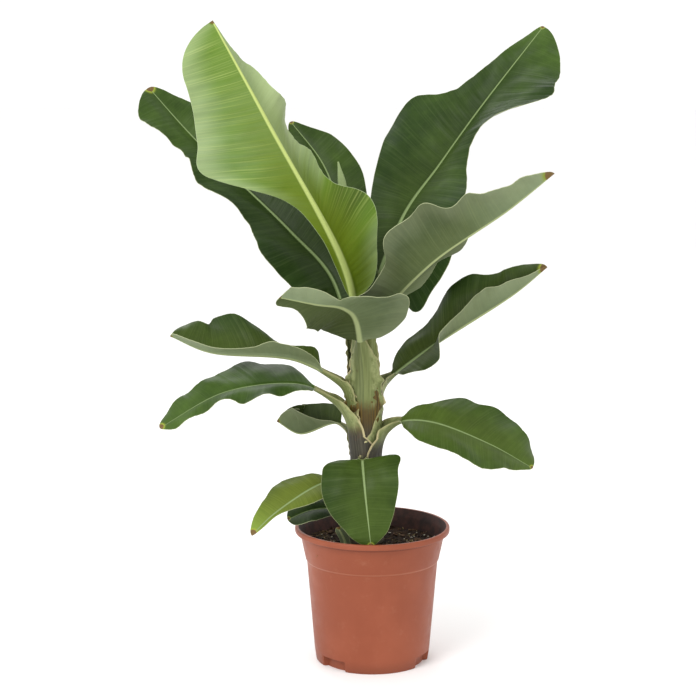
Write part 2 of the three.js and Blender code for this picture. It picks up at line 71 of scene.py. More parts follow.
# What a leaf has unless its own entry says otherwise. Lengths are in millimetres, and lists run
# evenly from the blade's base to its tip.
#   midrib, face: points on the midrib, and the ways the upper face looks along it
#   stalk, stalk_half_width: the stalk's share of the midrib, and its half width at the foot
#   left, right: half widths, lifts in degrees, and the ripple's height, count and phase
#   sweep: how far the margin is drawn toward the tip, as a share of the half width
#   tip_rounding: the share of the blade over which its tip rounds off
#   sheath: its length down the stem, the length over which it opens, and its layer from outside
#   opened: degrees it reaches either side where it leaves the stem
#   narrows: the share of the stalk over which it closes to a U
#   leaves: how far under the stalk's foot it starts to bend away from the stem
#   frill: the ruffle of the sheath's margin
#   dries: how far under the stalk's foot the sheath starts and ends its change to brown
#   rib: the pale midrib's width, as a share of the raised rib's
#   yellow_and_backlight: how yellow the blade's base is, partly its own colour and partly painted
#       light shining through it
#   dry_tip: how far from its point the blade is dried
#   upper, under: each face's tones, 0 dark and 1 bright, partly the leaf's own colour and partly
#       painted shade and light; half_tone_and_shade is what each half adds to them, mostly painted
#       shade
LEAF_DEFAULTS = dict(
    stalk=0.2, stalk_half_width=7, sweep=[0.1, 0.45, 0.45], tip_rounding=0.2, opened=32,
    narrows=0.5, leaves=26, frill=1.5, dries=(5, 60), rib=0.9, yellow_and_backlight=0.1, dry_tip=6,
    half_tone_and_shade=([0, 0], [0, 0]), kind="mature",
)
LEAVES = [
    dict(
        name="leaf_young_upper_left", kind="young",
        midrib=[(-20, -14, 430), (-34, -45, 535), (-138, -110, 745), (-201, -125, 863)],
        face=[(0.6, 0.75, 0.3), (0, 1, 0), (0, 1, 0)],
        stalk=0.14, stalk_half_width=8, sweep=[0.4, 0.5, 0.5, 0.5, 0.6], tip_rounding=0.15,
        left=([53, 53, 71, 52, 58, 46, 51, 32, 31, 9, 5], [30, 36, 60, 68, 44, 58, 70], (4, 4, 0)),
        right=([16, 12, 14, 34, 103, 90, 75, 66, 66], [0, 0, 5, 5, 0, -5, -10], (4, 3, 90)),
        sheath=(90, 70, 10), rib=1.35, yellow_and_backlight=0.95,
        upper=[0.3, 0.6, 0.8], under=[0.0, -0.2, 0.0, 0.65, 0.75, 0.45, 0.2],
        half_tone_and_shade=([0.6, 0.4, -0.7, 0.4, 0.7, 0.8, 0.7, 0.6, 0.5], [0, 0]),
    ),
    dict(
        name="leaf_upper_left",
        midrib=[(-28, -3, 430), (-55, 28, 520), (-112, 70, 579), (-246, 140, 700), (-310, 160, 769)],
        face=[(0.5, -0.5, 0.7), (0.45, -0.7, 0.5)],
        stalk=0.12, sweep=[-0.2, 0.45, 0.45], tip_rounding=0.14,
        left=([84, 63, 75, 47, 64, 55, 36, 56, 50], [-15, 10, 10], (5, 5, 0)),
        right=([82, 52, 60, 66, 43, 19], [50, 42, 30, 15], (5, 4, 60)),
        sheath=(80, 70, 7), yellow_and_backlight=0.03, dry_tip=12,
        upper=[0.12, 0.06, 0.1, 0.28, 0.3], under=[0.2, 0.5],
    ),
    dict(
        name="leaf_upper_back",
        midrib=[(-17, 7, 430), (-23, 60, 520), (-41, 122, 590), (-68, 168, 662), (-114, 196, 720)],
        face=[(0, -0.9, 0.4), (0.2, -0.8, 0.6)],
        left=([42, 42, 47, 38, 21], [20, 20], (4, 4, 0)),
        right=([16, 30, 40, 46, 34, 14], [15, 15], (3, 4, 60)),
        sheath=(80, 70, 9), yellow_and_backlight=0.03,
        upper=[0.05, 0.2, 0.25], under=[0.2, 0.4],
    ),
    dict(
        name="leaf_upper_right",
        midrib=[(-3, -1, 430), (-4, 20, 478), (42, 85, 597), (94, 130, 665), (150, 165, 739),
                (240, 190, 853)],
        face=[(-0.5, -0.6, 0.6), (-0.5, -0.7, 0.5)],
        sweep=[-0.8, 0.45, 0.45], tip_rounding=0.15,
        left=([16, 27, 44, 68, 96, 98, 57, 43, 27, 21, 12], [34, 26, 15, 15, 15], (6, 4, 0)),
        right=([112, 82, 100, 92, 58, 56, 96, 110, 94, 68, 60], [-60, -10, 10, 28, 15, 5, 0],
               (5, 4, 60)),
        sheath=(80, 70, 8), yellow_and_backlight=0.04,
        upper=[0.0, 0.16, 0.18, 0.2, 0.42], under=[0.2, 0.6],
    ),
    dict(
        name="leaf_upper_front_right",
        midrib=[(-5, -14, 428), (9, -32, 473), (72, -90, 554), (170, -145, 632), (222, -160, 677)],
        face=[(-0.3, 0.85, 0.4), (-0.3, 0.85, 0.4)],
        stalk=0.12,
        left=([40, 54, 66, 62, 40, 30, 20], [40, 40, 42, 60, 75, 70, 60], (4, 5, 0)),
        right=([50, 56, 46, 48, 88, 76, 88, 56, 54, 48, 27, 34, 20], [0, 0], (7, 5, 30)),
        sheath=(80, 70, 6), yellow_and_backlight=0.15, dry_tip=20,
        upper=[0.1, 0.2], under=[0.8, 0.35, 0.3, 0.7, 0.95],
    ),
    dict(
        name="leaf_middle_front",
        midrib=[(-12, -30, 385), (-22, -55, 474), (-38, -95, 498), (-75, -150, 512),
                (-118, -168, 523)],
        face=[(0.1, 0.6, 0.8), (0, 0, 1)],
        stalk=0.24, sweep=[0, 0.3, 0.3, 0.6, 2.2], tip_rounding=0.06,
        left=([46, 70, 82, 58, 28, 34, 34, 42], [-5, 10, 22, 30], (3, 4, 0)),
        right=([33, 44, 46, 44, 43, 26, 18, 24], [-15, -40, -45, -30], (3, 4, 60)),
        sheath=(120, 60, 5), opened=74, narrows=1.3, frill=3.5, dries=(2, 45), rib=1.3, dry_tip=3,
        upper=[0.1, 0.2], under=[0.5, 0.5, 0.7, 0.95, 0.95], half_tone_and_shade=([0, 0], [-1.2, -1.2]),
    ),
    dict(
        name="leaf_middle_left",
        midrib=[(-24, -14, 361), (-37, -20, 380), (-100, -42, 421), (-216, -48, 433),
                (-267, -40, 453)],
        face=[(0.3, 0, 0.9), (0, -0.1, 1)],
        stalk=0.24, stalk_half_width=8, sweep=[0.1, 0.45, 0.3], tip_rounding=0.13,
        left=([14, 24, 36, 19, 16, 16, 20, 22], [45, 45, 40], (1.5, 3, 0)),
        right=([50, 24, 24, 54, 69, 66, 44, 42, 38], [45, 40, 36, 34, 34], (5, 3, -40)),
        sheath=(110, 120, 4), opened=62, narrows=0.95, frill=4,
        upper=[0.15, 0.1, 0.15, 0.2], under=[0.5, 0.85, 0.8],
    ),
    dict(
        name="leaf_middle_right",
        midrib=[(6, -6, 357), (17, 14, 378), (70, 26, 420), (190, 2, 504), (231, -5, 540)],
        face=[(-0.3, -0.1, 0.9), (-0.3, -0.1, 0.9)],
        stalk=0.16,
        left=([32, 38, 43, 61, 64, 50, 39, 36, 26], [15, 30, 45, 45, 40, 35], (4, 3, 0)),
        right=([24, 38, 52, 26, 28, 34, 26, 15, 12], [-15, -8, 52, 66, 60, 50], (2, 4, 0)),
        sheath=(110, 60, 3), opened=85, narrows=1.2, leaves=10, dries=(25, 110), dry_tip=17,
        upper=[0, 0, 0.05, 0.15], under=[0.2, 0.6, 0.75, 0.8],
    ),
    dict(
        name="leaf_lower_left",
        midrib=[(-28, -18, 342), (-70, -40, 378), (-99, -50, 391), (-193, -75, 385),
                (-278, -90, 340)],
        face=[(0.3, -0.1, 0.9), (-0.2, -0.4, 0.9)],
        stalk=0.24,
        left=([40, 24, 31, 40, 25, 21, 19, 21, 16], [0, 0], (5, 4, 0)),
        right=([56, 60, 62, 54, 42, 36, 32, 27, 22], [0, 5, 5], (2, 4, 0)),
        sheath=(110, 45, 2), opened=70, narrows=0.8, dries=(0, 30), rib=0.35, yellow_and_backlight=0, dry_tip=10,
        upper=[0.3, 0.28, 0.35, 0.4], under=[0.4, 0.6],
    ),
    dict(
        name="leaf_lower_right",
        midrib=[(6, -18, 307), (36, -35, 336), (75, -50, 340), (153, -70, 314), (209, -80, 284)],
        face=[(-0.2, -0.2, 0.9), (0.2, -0.2, 0.9)],
        stalk_half_width=6.5,
        left=([35, 30, 62, 56, 64, 63, 50, 48, 44], [15, 20, 14], (5, 3, 0)),
        right=([24, 43, 48, 54, 49, 32, 18], [-15, -10, -5], (2, 3, 0)),
        sheath=(90, 45, 1), opened=75, narrows=1.3, dries=(-25, 20), rib=0.6,
        upper=[0.25, 0.3, 0.35], under=[0.4, 0.6],
    ),
    dict(
        name="leaf_small_back_left",
        midrib=[(-26, -8, 312), (-50, 26, 322), (-100, 55, 301), (-131, 62, 317)],
        face=[(0, -0.1, 1), (0, -0.1, 1)],
        stalk=0.25, stalk_half_width=5, sweep=[0.1, 0.1, 0.1], tip_rounding=0.16,
        left=([8, 8, 16, 46, 44, 40, 38, 36, 34], [30, 50, 70, 78, 78], (1, 2, 0)),
        right=([24, 36, 43, 40, 34], [50, 60], (1, 2, 90)),
        sheath=(90, 90, 1.5),
        upper=[0.1, 0.1], under=[0.3, 0.5, 0.6],
    ),
    dict(
        name="leaf_hanging_front",
        midrib=[(-12, -36, 273), (-14, -46, 288), (-11, -81, 256), (-3, -92, 182)],
        face=[(0, -0.3, 0.9), (0, -0.95, 0.3)],
        stalk=0.16, sweep=[-0.2, 0.2, 0.2],
        left=([66, 48, 45, 39, 33, 25, 16], [10, 2, 0], (0, 1, 0)),
        right=([50, 54, 57, 50, 39, 28, 22], [0, 0], (0, 1, 0)),
        sheath=(70, 60, 0), rib=0.6, yellow_and_backlight=0.06,
        upper=[0.24, 0.24, 0.3], under=[0.4, 0.6],
    ),
    dict(
        name="leaf_low_left",
        midrib=[(-28, -22, 240), (-46, -35, 254), (-68, -50, 256), (-129, -75, 222),
                (-160, -80, 193)],
        face=[(0, -0.3, 0.9), (-0.4, -0.6, 0.6)],
        stalk_half_width=5, sweep=[0, 0.3, 0.3],
        left=([28, 30, 25, 14, 6, 5, 4], [0, 0], (0, 1, 0)),
        right=([20, 31, 41, 32, 22, 16], [0, 0], (0, 1, 0)),
        sheath=(44, 60, 0.5), yellow_and_backlight=0.35, dry_tip=12,
        upper=[0.1, 0.15, 0.38, 1.0], under=[0.6, 0.9],
    ),
    dict(
        name="leaf_basal_left",
        midrib=[(-30, -18, 192), (-52, -22, 213), (-82, -28, 214), (-114, -32, 202)],
        face=[(0, -0.4, 0.9), (-0.3, -0.4, 0.8)],
        stalk=0.25, stalk_half_width=4, sweep=[0, 0.3, 0.3],
        left=([14, 26, 20], [5, 5], (0, 1, 0)),
        right=([18, 22, 18], [5, 5], (0, 1, 0)),
        sheath=(12, 30, 0), yellow_and_backlight=0,
        upper=[0.1, 0.2], under=[0.3, 0.4],
    ),
    dict(
        name="leaf_small_sprout",
        midrib=[(-33, -48, 158), (-38, -60, 182), (-46, -73, 202)],
        face=[(0, 1, 0.2), (0, 1, 0.2)],
        stalk_half_width=4, sweep=[0, 0.3, 0.3], tip_rounding=0.4,
        left=([7, 8, 8], [30, 30], (0, 1, 0)),
        right=([7, 8, 8], [30, 30], (0, 1, 0)),
        sheath=None, yellow_and_backlight=0,
        upper=[0.4, 0.6], under=[0.5, 0.6],
    ),
]


# ---------------------------------------------------------------- number helpers

def smooth_step(low, high, x):
    """0 up to low, 1 from high on, and eased between; high may also be the smaller one."""
    t = np.clip((np.asarray(x, float) - low) / (high - low), 0, 1)
    return t * t * (3 - 2 * t)


def lerp(a, b, t):
    """a where t is 0 and b where it is 1."""
    return a + (b - a) * t


def hermite(start, end, start_slope, end_slope, f):
    """The cubic from start to end with those slopes, at f from 0 to 1."""
    return (
        (2 * f**3 - 3 * f**2 + 1) * start
        + (f**3 - 2 * f**2 + f) * start_slope
        + (3 * f**2 - 2 * f**3) * end
        + (f**3 - f**2) * end_slope
    )


def smooth_value(values, t):
    """Smooth values at t (0 to 1) of a list of evenly spaced numbers or vectors."""
    values = np.asarray(values, float)
    last = len(values) - 1
    place = np.clip(t, 0, 1) * last
    i = np.minimum(np.floor(place).astype(int), last - 1)
    f = (place - i).reshape(np.shape(place) + (1,) * (values.ndim - 1))
    before = values[np.maximum(i - 1, 0)]
    after = values[np.minimum(i + 2, last)]
    start_slope = (values[i + 1] - before) / 2
    end_slope = (after - values[i]) / 2
    return hermite(values[i], values[i + 1], start_slope, end_slope, f)


def full_turn(count):
    """Angles evenly round a circle."""
    return np.linspace(0, 2 * math.pi, count, endpoint=False)


def unit(vectors):
    return vectors / np.linalg.norm(vectors, axis=-1, keepdims=True)


def hump(x, width):
    """1 at 0, easing down to 0 where x comes to width on either side."""
    return np.clip(1 - (x / width) ** 2, 0, 1) ** 2


def square_to(vectors, tangents):
    """The unit vectors nearest to vectors that stand square to tangents."""
    along = np.sum(vectors * tangents, axis=-1, keepdims=True)
    return unit(vectors - along * tangents)


def catmull_span(p, f):
    """Points at f (0 to 1) on the middle span of a centripetal Catmull-Rom curve through p."""
    gap = [np.linalg.norm(p[k + 1] - p[k]) ** 0.5 for k in range(3)]
    start = (p[1] - p[0]) / gap[0] - (p[2] - p[0]) / (gap[0] + gap[1]) + (p[2] - p[1]) / gap[1]
    end = (p[2] - p[1]) / gap[1] - (p[3] - p[1]) / (gap[1] + gap[2]) + (p[3] - p[2]) / gap[2]
    return hermite(p[1], p[2], start * gap[1], end * gap[1], f[:, None])


class Curve:
    """A smooth curve through points, read by its share of arc length."""

    STEPS = 120

    def __init__(self, points):
        p = np.asarray(points, float)
        p = np.vstack([2 * p[0] - p[1], p, 2 * p[-1] - p[-2]])
        f = np.linspace(0, 1, self.STEPS, endpoint=False)
        spans = [catmull_span(p[k:k + 4], f) for k in range(len(p) - 3)]
        self.dense = np.vstack([*spans, p[-2]])
        steps = np.linalg.norm(np.diff(self.dense, axis=0), axis=1)
        distance = np.concatenate([[0], np.cumsum(steps)])
        self.length = distance[-1]
        self.share = distance / self.length

    def at(self, s):
        return np.stack([np.interp(s, self.share, self.dense[:, k]) for k in range(3)], axis=-1)

    def tangent(self, s, step=0.004):
        return unit(self.at(np.clip(s + step, 0, 1)) - self.at(np.clip(s - step, 0, 1)))


def stem_at(z):
    """The axis point and radius of the stem at heights z."""
    rows = np.asarray(STEM_SECTIONS, float)
    i = np.clip(np.searchsorted(rows[:, 0], z, side="right") - 1, 0, len(rows) - 2)
    t = smooth_step(0, 1, (z - rows[i, 0]) / (rows[i + 1, 0] - rows[i, 0]))[..., None]
    found = lerp(rows[i, 1:], rows[i + 1, 1:], t)
    axis = np.concatenate([found[..., :2], np.asarray(z, float)[..., None]], axis=-1)
    return axis, found[..., 2]


def waves(rng, place, sizes):
    """A sum of sine waves of random direction over place (..., 2), one pair for each wavelength."""
    total = np.zeros(place.shape[:-1])
    for length, height in sizes:
        for _ in range(2):
            turn = rng.uniform(0, 2 * math.pi)
            phase = rng.uniform(0, 2 * math.pi)
            travel = place[..., 0] * math.cos(turn) + place[..., 1] * math.sin(turn)
            total += 0.5 * height * np.sin(2 * math.pi * travel / length + phase)
    return total


# ---------------------------------------------------------------- mesh helpers

def mesh_object(name, vertices, faces, materials, face_material=None, attributes=None, sharp=50):
    """A smooth-shaded mesh piece from millimetre vertices and quads or triangles."""
    mesh = bpy.data.meshes.new(name)
    vertices = np.asarray(vertices, float) * MM
    corners = faces.shape[1]
    mesh.vertices.add(len(vertices))
    mesh.vertices.foreach_set("co", vertices.ravel())
    mesh.loops.add(faces.size)
    mesh.loops.foreach_set("vertex_index", faces.ravel().astype(np.int32))
    mesh.polygons.add(len(faces))
    mesh.polygons.foreach_set("loop_start", np.arange(0, faces.size, corners, dtype=np.int32))
    for material in materials:
        mesh.materials.append(material)
    if face_material is not None:
        mesh.polygons.foreach_set("material_index", face_material.astype(np.int32))
    for key, values in (attributes or {}).items():
        layer = mesh.attributes.new(key, "FLOAT_VECTOR", "POINT")
        layer.data.foreach_set("vector", np.asarray(values, float).ravel())
    mesh.update()
    mesh.validate()
    mesh.polygons.foreach_set("use_smooth", np.ones(len(faces), dtype=bool))
    mesh.set_sharp_from_angle(angle=math.radians(sharp))
    piece = bpy.data.objects.new(name, mesh)
    bpy.context.scene.collection.objects.link(piece)
    return piece


def grid_faces(rows, columns, start=0, wrap=False):
    """Quads over a rows by columns grid of vertices; wrap joins the last column to the first."""
    across = columns if wrap else columns - 1
    r, c = np.meshgrid(np.arange(rows - 1), np.arange(across), indexing="ij")
    a = start + r * columns + c
    b = start + r * columns + (c + 1) % columns
    return np.stack([a, b, b + columns, a + columns], axis=-1).reshape(-1, 4)


def shell_faces(rows, columns):
    """Quads of a closed shell: an upper grid, a lower grid after it, and the rim between them."""
    size = rows * columns
    upper = grid_faces(rows, columns)
    lower = grid_faces(rows, columns, start=size)[:, ::-1]
    index = np.arange(size).reshape(rows, columns)
    rim = np.concatenate([index[0], index[1:, -1], index[-1, -2::-1], index[-2:0:-1, 0]])
    after = np.roll(rim, -1)
    side = np.stack([after, rim, rim + size, after + size], axis=-1)
    return upper, lower, side


def close_tube(points):
    """The vertices and triangles of a tube of rings, with a fan to its middle at each end."""
    rows, columns = points.shape[:2]
    sides = grid_faces(rows, columns, wrap=True)
    vertices = np.concatenate([points.reshape(-1, 3), points[[0, -1]].mean(axis=1)])
    count = rows * columns
    here = np.arange(columns)
    after = (here + 1) % columns
    last = count - columns
    low = np.stack([after, here, np.full(columns, count)], axis=-1)
    high = np.stack([last + here, last + after, np.full(columns, count + 1)], axis=-1)
    return vertices, np.concatenate([sides[:, [0, 1, 2]], sides[:, [0, 2, 3]], low, high])


def add_piece(piece, slot, *nodes):
    """Rides a piece on the body, in place of the nodes it stands for; slot is not used."""
    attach(piece, BODY)
    if nodes:
        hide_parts(*nodes)
    return piece


# ---------------------------------------------------------------- shader helpers

def linear(code):
    """A hexadecimal sRGB colour as linear red, green, blue and alpha."""
    channels = [int(code[k:k + 2], 16) / 255 for k in (0, 2, 4)]
    return (*[c / 12.92 if c <= 0.04045 else ((c + 0.055) / 1.055) ** 2.4 for c in channels], 1)


class Shader:
    """A material's node tree, with one short call for each kind of node."""

    def __init__(self, name, specular=0.5):
        self.material = bpy.data.materials.new(name)
        self.material.use_nodes = True
        self.tree = self.material.node_tree
        self.surface = self.tree.nodes["Principled BSDF"]
        self.surface.inputs["Specular IOR Level"].default_value = specular

    def node(self, kind, inputs, output=0, **settings):
        made = self.tree.nodes.new(kind)
        for key, value in settings.items():
            setattr(made, key, value)
        for key, value in inputs.items():
            self.feed(made.inputs[key], value)
        return made.outputs[output]

    def feed(self, socket, value):
        if isinstance(value, bpy.types.NodeSocket):
            self.tree.links.new(value, socket)
        else:
            socket.default_value = linear(value) if isinstance(value, str) else value

    def attribute(self, name):
        return self.axes(self.node("ShaderNodeAttribute", {}, output="Vector", attribute_name=name))

    def place(self):
        return self.node("ShaderNodeTexCoord", {}, output="Object")

    def axes(self, vector):
        parts = self.tree.nodes.new("ShaderNodeSeparateXYZ")
        self.tree.links.new(vector, parts.inputs[0])
        return parts.outputs

    def vector(self, x, y, z=0.0):
        return self.node("ShaderNodeCombineXYZ", {0: x, 1: y, 2: z})

    def math(self, operation, a, b=0.0, clamp=False):
        return self.node("ShaderNodeMath", {0: a, 1: b}, operation=operation, use_clamp=clamp)

    def add(self, a, b, clamp=False):
        return self.math("ADD", a, b, clamp)

    def subtract(self, a, b):
        return self.math("SUBTRACT", a, b)

    def multiply(self, a, b, clamp=False):
        return self.math("MULTIPLY", a, b, clamp)

    def blend(self, share, a, b):
        """a where share is 0 and b where it is 1; a colour may be a hexadecimal string."""
        return self.node("ShaderNodeMix", {0: share, 6: a, 7: b}, output=2, data_type="RGBA")

    def ramp(self, value, low, high, to_low=0.0, to_high=1.0):
        """value's place between low and high, eased, and clamped at both ends."""
        inputs = {"Value": value, 1: low, 2: high, 3: to_low, 4: to_high}
        return self.node("ShaderNodeMapRange", inputs, interpolation_type="SMOOTHSTEP")

    def noise(self, vector, scale, detail=3.0, roughness=0.55):
        inputs = {"Vector": vector, "Scale": scale, "Detail": detail, "Roughness": roughness}
        return self.node("ShaderNodeTexNoise", inputs)

    def bump(self, height, distance, strength=1.0):
        inputs = {"Height": height, "Distance": distance, "Strength": strength}
        return self.node("ShaderNodeBump", inputs)

    def finish(self, colour, roughness, normal=None):
        self.feed(self.surface.inputs["Base Color"], colour)
        self.feed(self.surface.inputs["Roughness"], roughness)
        if normal is not None:
            self.feed(self.surface.inputs["Normal"], normal)
        return self.material


# ---------------------------------------------------------------- leaf materials
# leaf_map holds millimetres: along from the blade's base, across from the midrib, in from the edge.
# leaf_zone holds nearness to the midrib, the base's yellow with painted back-light glow on a blade or
# dryness on a sheath, and tone with painted shade and light.

def vein_heights(sh, along, across):
    """Fine parallel veins that run from the midrib out to the margin, at two spacings."""
    far = sh.multiply(across, 0.008)
    fine = sh.noise(sh.vector(sh.multiply(along, 0.62), far), 1.0, 2.0)
    broad = sh.noise(sh.vector(sh.multiply(along, 0.13), far, 7.0), 1.0, 2.0)
    return fine, broad


def blade_material(name, dark, bright, rib, margin, backlit_yellow_colour, roughness, vein_share, bloom):
    """One face of a blade, between its dark and bright greens, with veins, midrib and margin.

    bloom is how pale its waxy bloom turns it toward the margin. The tone holds painted shade and light
    as well as the leaf's own colour: above 1 it is paler all over, and under 0 painted shade deeper
    than its dark green.
    """
    sh = Shader(name, specular=0.13)
    along, across, inward = sh.attribute("leaf_map")
    near_rib, yellow_and_backlight, tone_and_shade = sh.attribute("leaf_zone")
    fine, broad = vein_heights(sh, along, across)
    place = sh.place()
    patches = sh.noise(place, 16.0, 4.0)
    blotches = sh.noise(place, 75.0, 3.0)
    mottle = sh.subtract(patches, 0.5)
    share = sh.add(tone_and_shade, sh.multiply(mottle, 0.5))
    share = sh.add(share, sh.multiply(sh.subtract(blotches, 0.5), 0.2))
    share = sh.math("POWER", sh.math("MAXIMUM", share, 0.0), 1.6, clamp=True)
    colour = sh.blend(share, dark, bright)
    # Painted shade: tones under 0 blend toward this deep green, for parts of a leaf lying in shadow.
    colour = sh.blend(sh.ramp(tone_and_shade, 0.0, -1.0, 0.0, 0.7), colour, "1d2612")
    streaks = sh.ramp(fine, 0.45, 0.75)
    colour = sh.blend(sh.multiply(streaks, vein_share), colour, rib)
    bands = sh.ramp(broad, 0.4, 0.65)
    colour = sh.blend(sh.multiply(bands, vein_share * 0.7), colour, dark)
    paler = sh.math("MAXIMUM", sh.subtract(tone_and_shade, 1.0), 0.0)
    bloomed = sh.multiply(sh.ramp(inward, 42.0, 0.0, 0.0, bloom), sh.ramp(tone_and_shade, -0.3, 0.3))
    paler = sh.add(paler, bloomed, clamp=True)
    colour = sh.blend(paler, colour, margin)
    # Painted light shining through the blade: the base and midrib turn yellow-green, streaked by the
    # veins.
    backlit_yellow = sh.multiply(yellow_and_backlight, sh.ramp(fine, 0.3, 0.65, 0.75, 1.0), clamp=True)
    colour = sh.blend(backlit_yellow, colour, backlit_yellow_colour)
    colour = sh.blend(sh.ramp(near_rib, 0.15, 0.7), colour, rib)
    colour = sh.blend(sh.ramp(inward, 0.7, 0.1, 0.0, 0.8), colour, margin)
    dried = sh.ramp(sh.add(yellow_and_backlight, sh.multiply(blotches, 0.7)), 1.6, 2.0)
    colour = sh.blend(dried, colour, "6b5632")
    shine = sh.add(roughness, sh.multiply(mottle, 0.22))
    relief = sh.add(sh.multiply(fine, 0.5), broad)
    return sh.finish(colour, shine, sh.bump(relief, 0.0006, 0.5))


def stalk_material():
    """The stalks and sheaths: waxy green, drying to papery brown and then grey-brown lower down."""
    sh = Shader("banana_stalk", specular=0.3)
    along, across, inward = sh.attribute("leaf_map")
    _, dry, tone_and_shade = sh.attribute("leaf_zone")
    place = sh.place()
    z = sh.axes(place)[2]
    lengthwise = sh.vector(sh.multiply(along, 0.025), sh.multiply(across, 0.5))
    fibres = sh.noise(lengthwise, 1.0, 5.0, 0.6)
    blotches = sh.noise(place, 60.0, 5.0, 0.62)
    # The stalk's green follows the leaf's tone, which carries painted shade and light.
    green = sh.blend(tone_and_shade, "5c653a", "767f47")
    green = sh.blend(sh.ramp(fibres, 0.4, 0.75, 0.0, 0.5), green, "888f5f")
    green = sh.blend(sh.ramp(fibres, 0.5, 0.25, 0.0, 0.6), green, "48522c")
    outer = sh.ramp(sh.math("ABSOLUTE", across), 8.0, 15.0)
    wings = sh.multiply(outer, sh.ramp(blotches, 0.4, 0.6))
    green = sh.blend(sh.multiply(wings, 0.6), green, "9fa570")
    papery = sh.blend(sh.ramp(fibres, 0.3, 0.7), "2b200b", "655019")
    old = sh.blend(sh.ramp(fibres, 0.3, 0.7), "22201a", "4a4637")
    brown = sh.blend(sh.ramp(z, 0.345, 0.31), papery, old)
    uneven = sh.add(fibres, sh.multiply(blotches, 0.5))
    drying = sh.add(dry, sh.multiply(sh.subtract(uneven, 0.75), 1.6))
    colour = sh.blend(sh.ramp(drying, 0.1, 0.9), green, brown)
    colour = sh.blend(sh.ramp(blotches, 0.6, 0.72, 0.0, 0.5), colour, "4a3522")
    crust = sh.ramp(sh.add(inward, sh.multiply(blotches, 2.0)), 4.4, 2.2, 0.0, 0.9)
    crust = sh.multiply(crust, sh.ramp(dry, 0.0, 0.3, 0.3, 1.0))
    crust = sh.multiply(crust, sh.ramp(z, 0.25, 0.31, 0.15, 1.0))
    colour = sh.blend(crust, colour, "b9ad82")
    relief = sh.add(fibres, sh.multiply(blotches, 0.6))
    return sh.finish(colour, sh.ramp(fibres, 0.2, 0.8, 0.66, 0.5), sh.bump(relief, 0.0008, 0.6))


def stem_material():
    """The lower pseudostem: grey-brown dried sheath with long vertical fibres and pale scars."""
    sh = Shader("banana_stem", specular=0.3)
    place = sh.place()
    x, y, z = sh.axes(place)
    # The angle round the stem's own middle, which stands 10 mm left and 21 mm in front of the pot's.
    around = sh.math("ARCTAN2", sh.add(y, 0.021), sh.add(x, 0.01))
    grain = sh.vector(sh.multiply(around, 9.0), sh.multiply(z, 16.0))
    fibres = sh.noise(grain, 2.2, 5.0, 0.7)
    blotches = sh.noise(place, 42.0, 5.0, 0.6)
    colour = sh.blend(sh.ramp(fibres, 0.3, 0.7), "30281f", "6a6150")
    green = sh.multiply(sh.ramp(z, 0.20, 0.33, 0.25, 0.8), sh.ramp(blotches, 0.35, 0.65))
    colour = sh.blend(green, colour, "5c6340")
    colour = sh.blend(sh.ramp(blotches, 0.58, 0.72, 0.0, 0.6), colour, "948a68")
    colour = sh.blend(sh.ramp(z, 0.185, 0.168, 0.0, 0.75), colour, "2c2119")
    return sh.finish(colour, 0.68, sh.bump(fibres, 0.0012, 0.8))


def make_leaf_materials():
    """The upper and under faces of each kind of leaf, in blade_material's order of values."""
    faces = {
        "mature": [
            ("banana_leaf_upper", "1a2e0a", "6f9038", "7f9160", "8d9468", "8f9a36", 0.42, 0.08, 0.0),
            ("banana_leaf_under", "3b4729", "7c8a6c", "98a272", "aeb48c", "7c8a36", 0.55, 0.1, 0.15),
        ],
        "young": [
            ("young_leaf_upper", "3f6020", "628638", "a3b060", "c2c890", "75882a", 0.4, 0.15, 0.1),
            ("young_leaf_under", "5b7a26", "778e5f", "aebc6e", "a9b88c", "5a6c08", 0.5, 0.45, 0.45),
        ],
    }
    return {kind: [blade_material(*values) for values in pair] for kind, pair in faces.items()}


# ---------------------------------------------------------------- leaves

SHEATH_STATIONS = 60
STALK_STATIONS = 40
BLADE_STEP = 1.6  # millimetres between stations on a blade
RIB_COLUMNS = 6
BLADE_COLUMNS = 20

LAYER_THICKNESS = 0.35
WRAP = 165  # degrees that a sheath reaches either side of its leaf, low on the stem
SHEATH_KEEL = 0.9  # millimetres that a sheath bulges along its middle
SHEATH_TUCK = 1.5  # millimetres that its lowest end is drawn in
FRILL_LENGTH = 15  # millimetres below the sheath's top where its margin starts to ruffle
CHANNEL = math.radians(77)  # half of the arc of a stalk's U section
CHANNEL_ROOM = 1.05  # the U's radius, as a share of the stalk's half width
STALK_NARROWING = 0.6  # its half width at the blade, as a share of that at its foot
KEEL = 0.55  # its depth under the channel, as a share of its half width
RIB_TIP = 0.9  # half width of the midrib at the leaf's tip
RIB_REACH = 1.9  # how far out the raised rib fades away on a blade, in its half widths
STALK_KEEL_REACH = 1.6  # the same for the keel on a stalk
GROOVE_REACH = 1.3  # and for the groove on top of the midrib
GROOVE_DEPTH = 0.4  # the groove's depth, as a share of the keel's
PALE_RIB = (1.1, 1.3)  # how far out the midrib's pale colour fades away, at the base and the tip
RIB_SHARE = 0.5  # the most of a half's width that the midrib's columns take
COLUMN_POWER = 1.2  # of the sine that crowds a blade's columns toward its margin
LEAST_FRILL = 0.5  # millimetres that every sheath's margin stands out
CRUMPLE_FRILL = 7  # the ruffle at which a sheath's wings are fully crumpled

SKIN = 0.3  # half of the thickness of a blade
BASE_ROUNDING = 0.16  # share of the blade over which its base rounds out
CHANNEL_OPENING = 0.03  # share of the blade over which the stalk's channel flattens into it
CAMBER = 0.05  # how far each half of a blade arches, as a share of its width
FULL_RIPPLE_WIDTH = 30  # the half width from which a ripple has its full height

# Ripple, sweep and flutter grow toward the margin as these powers of the share of the half width.
RIPPLE_GROWTH = 1.8
SWEEP_GROWTH = 1.3
FLUTTER_GROWTH = 3

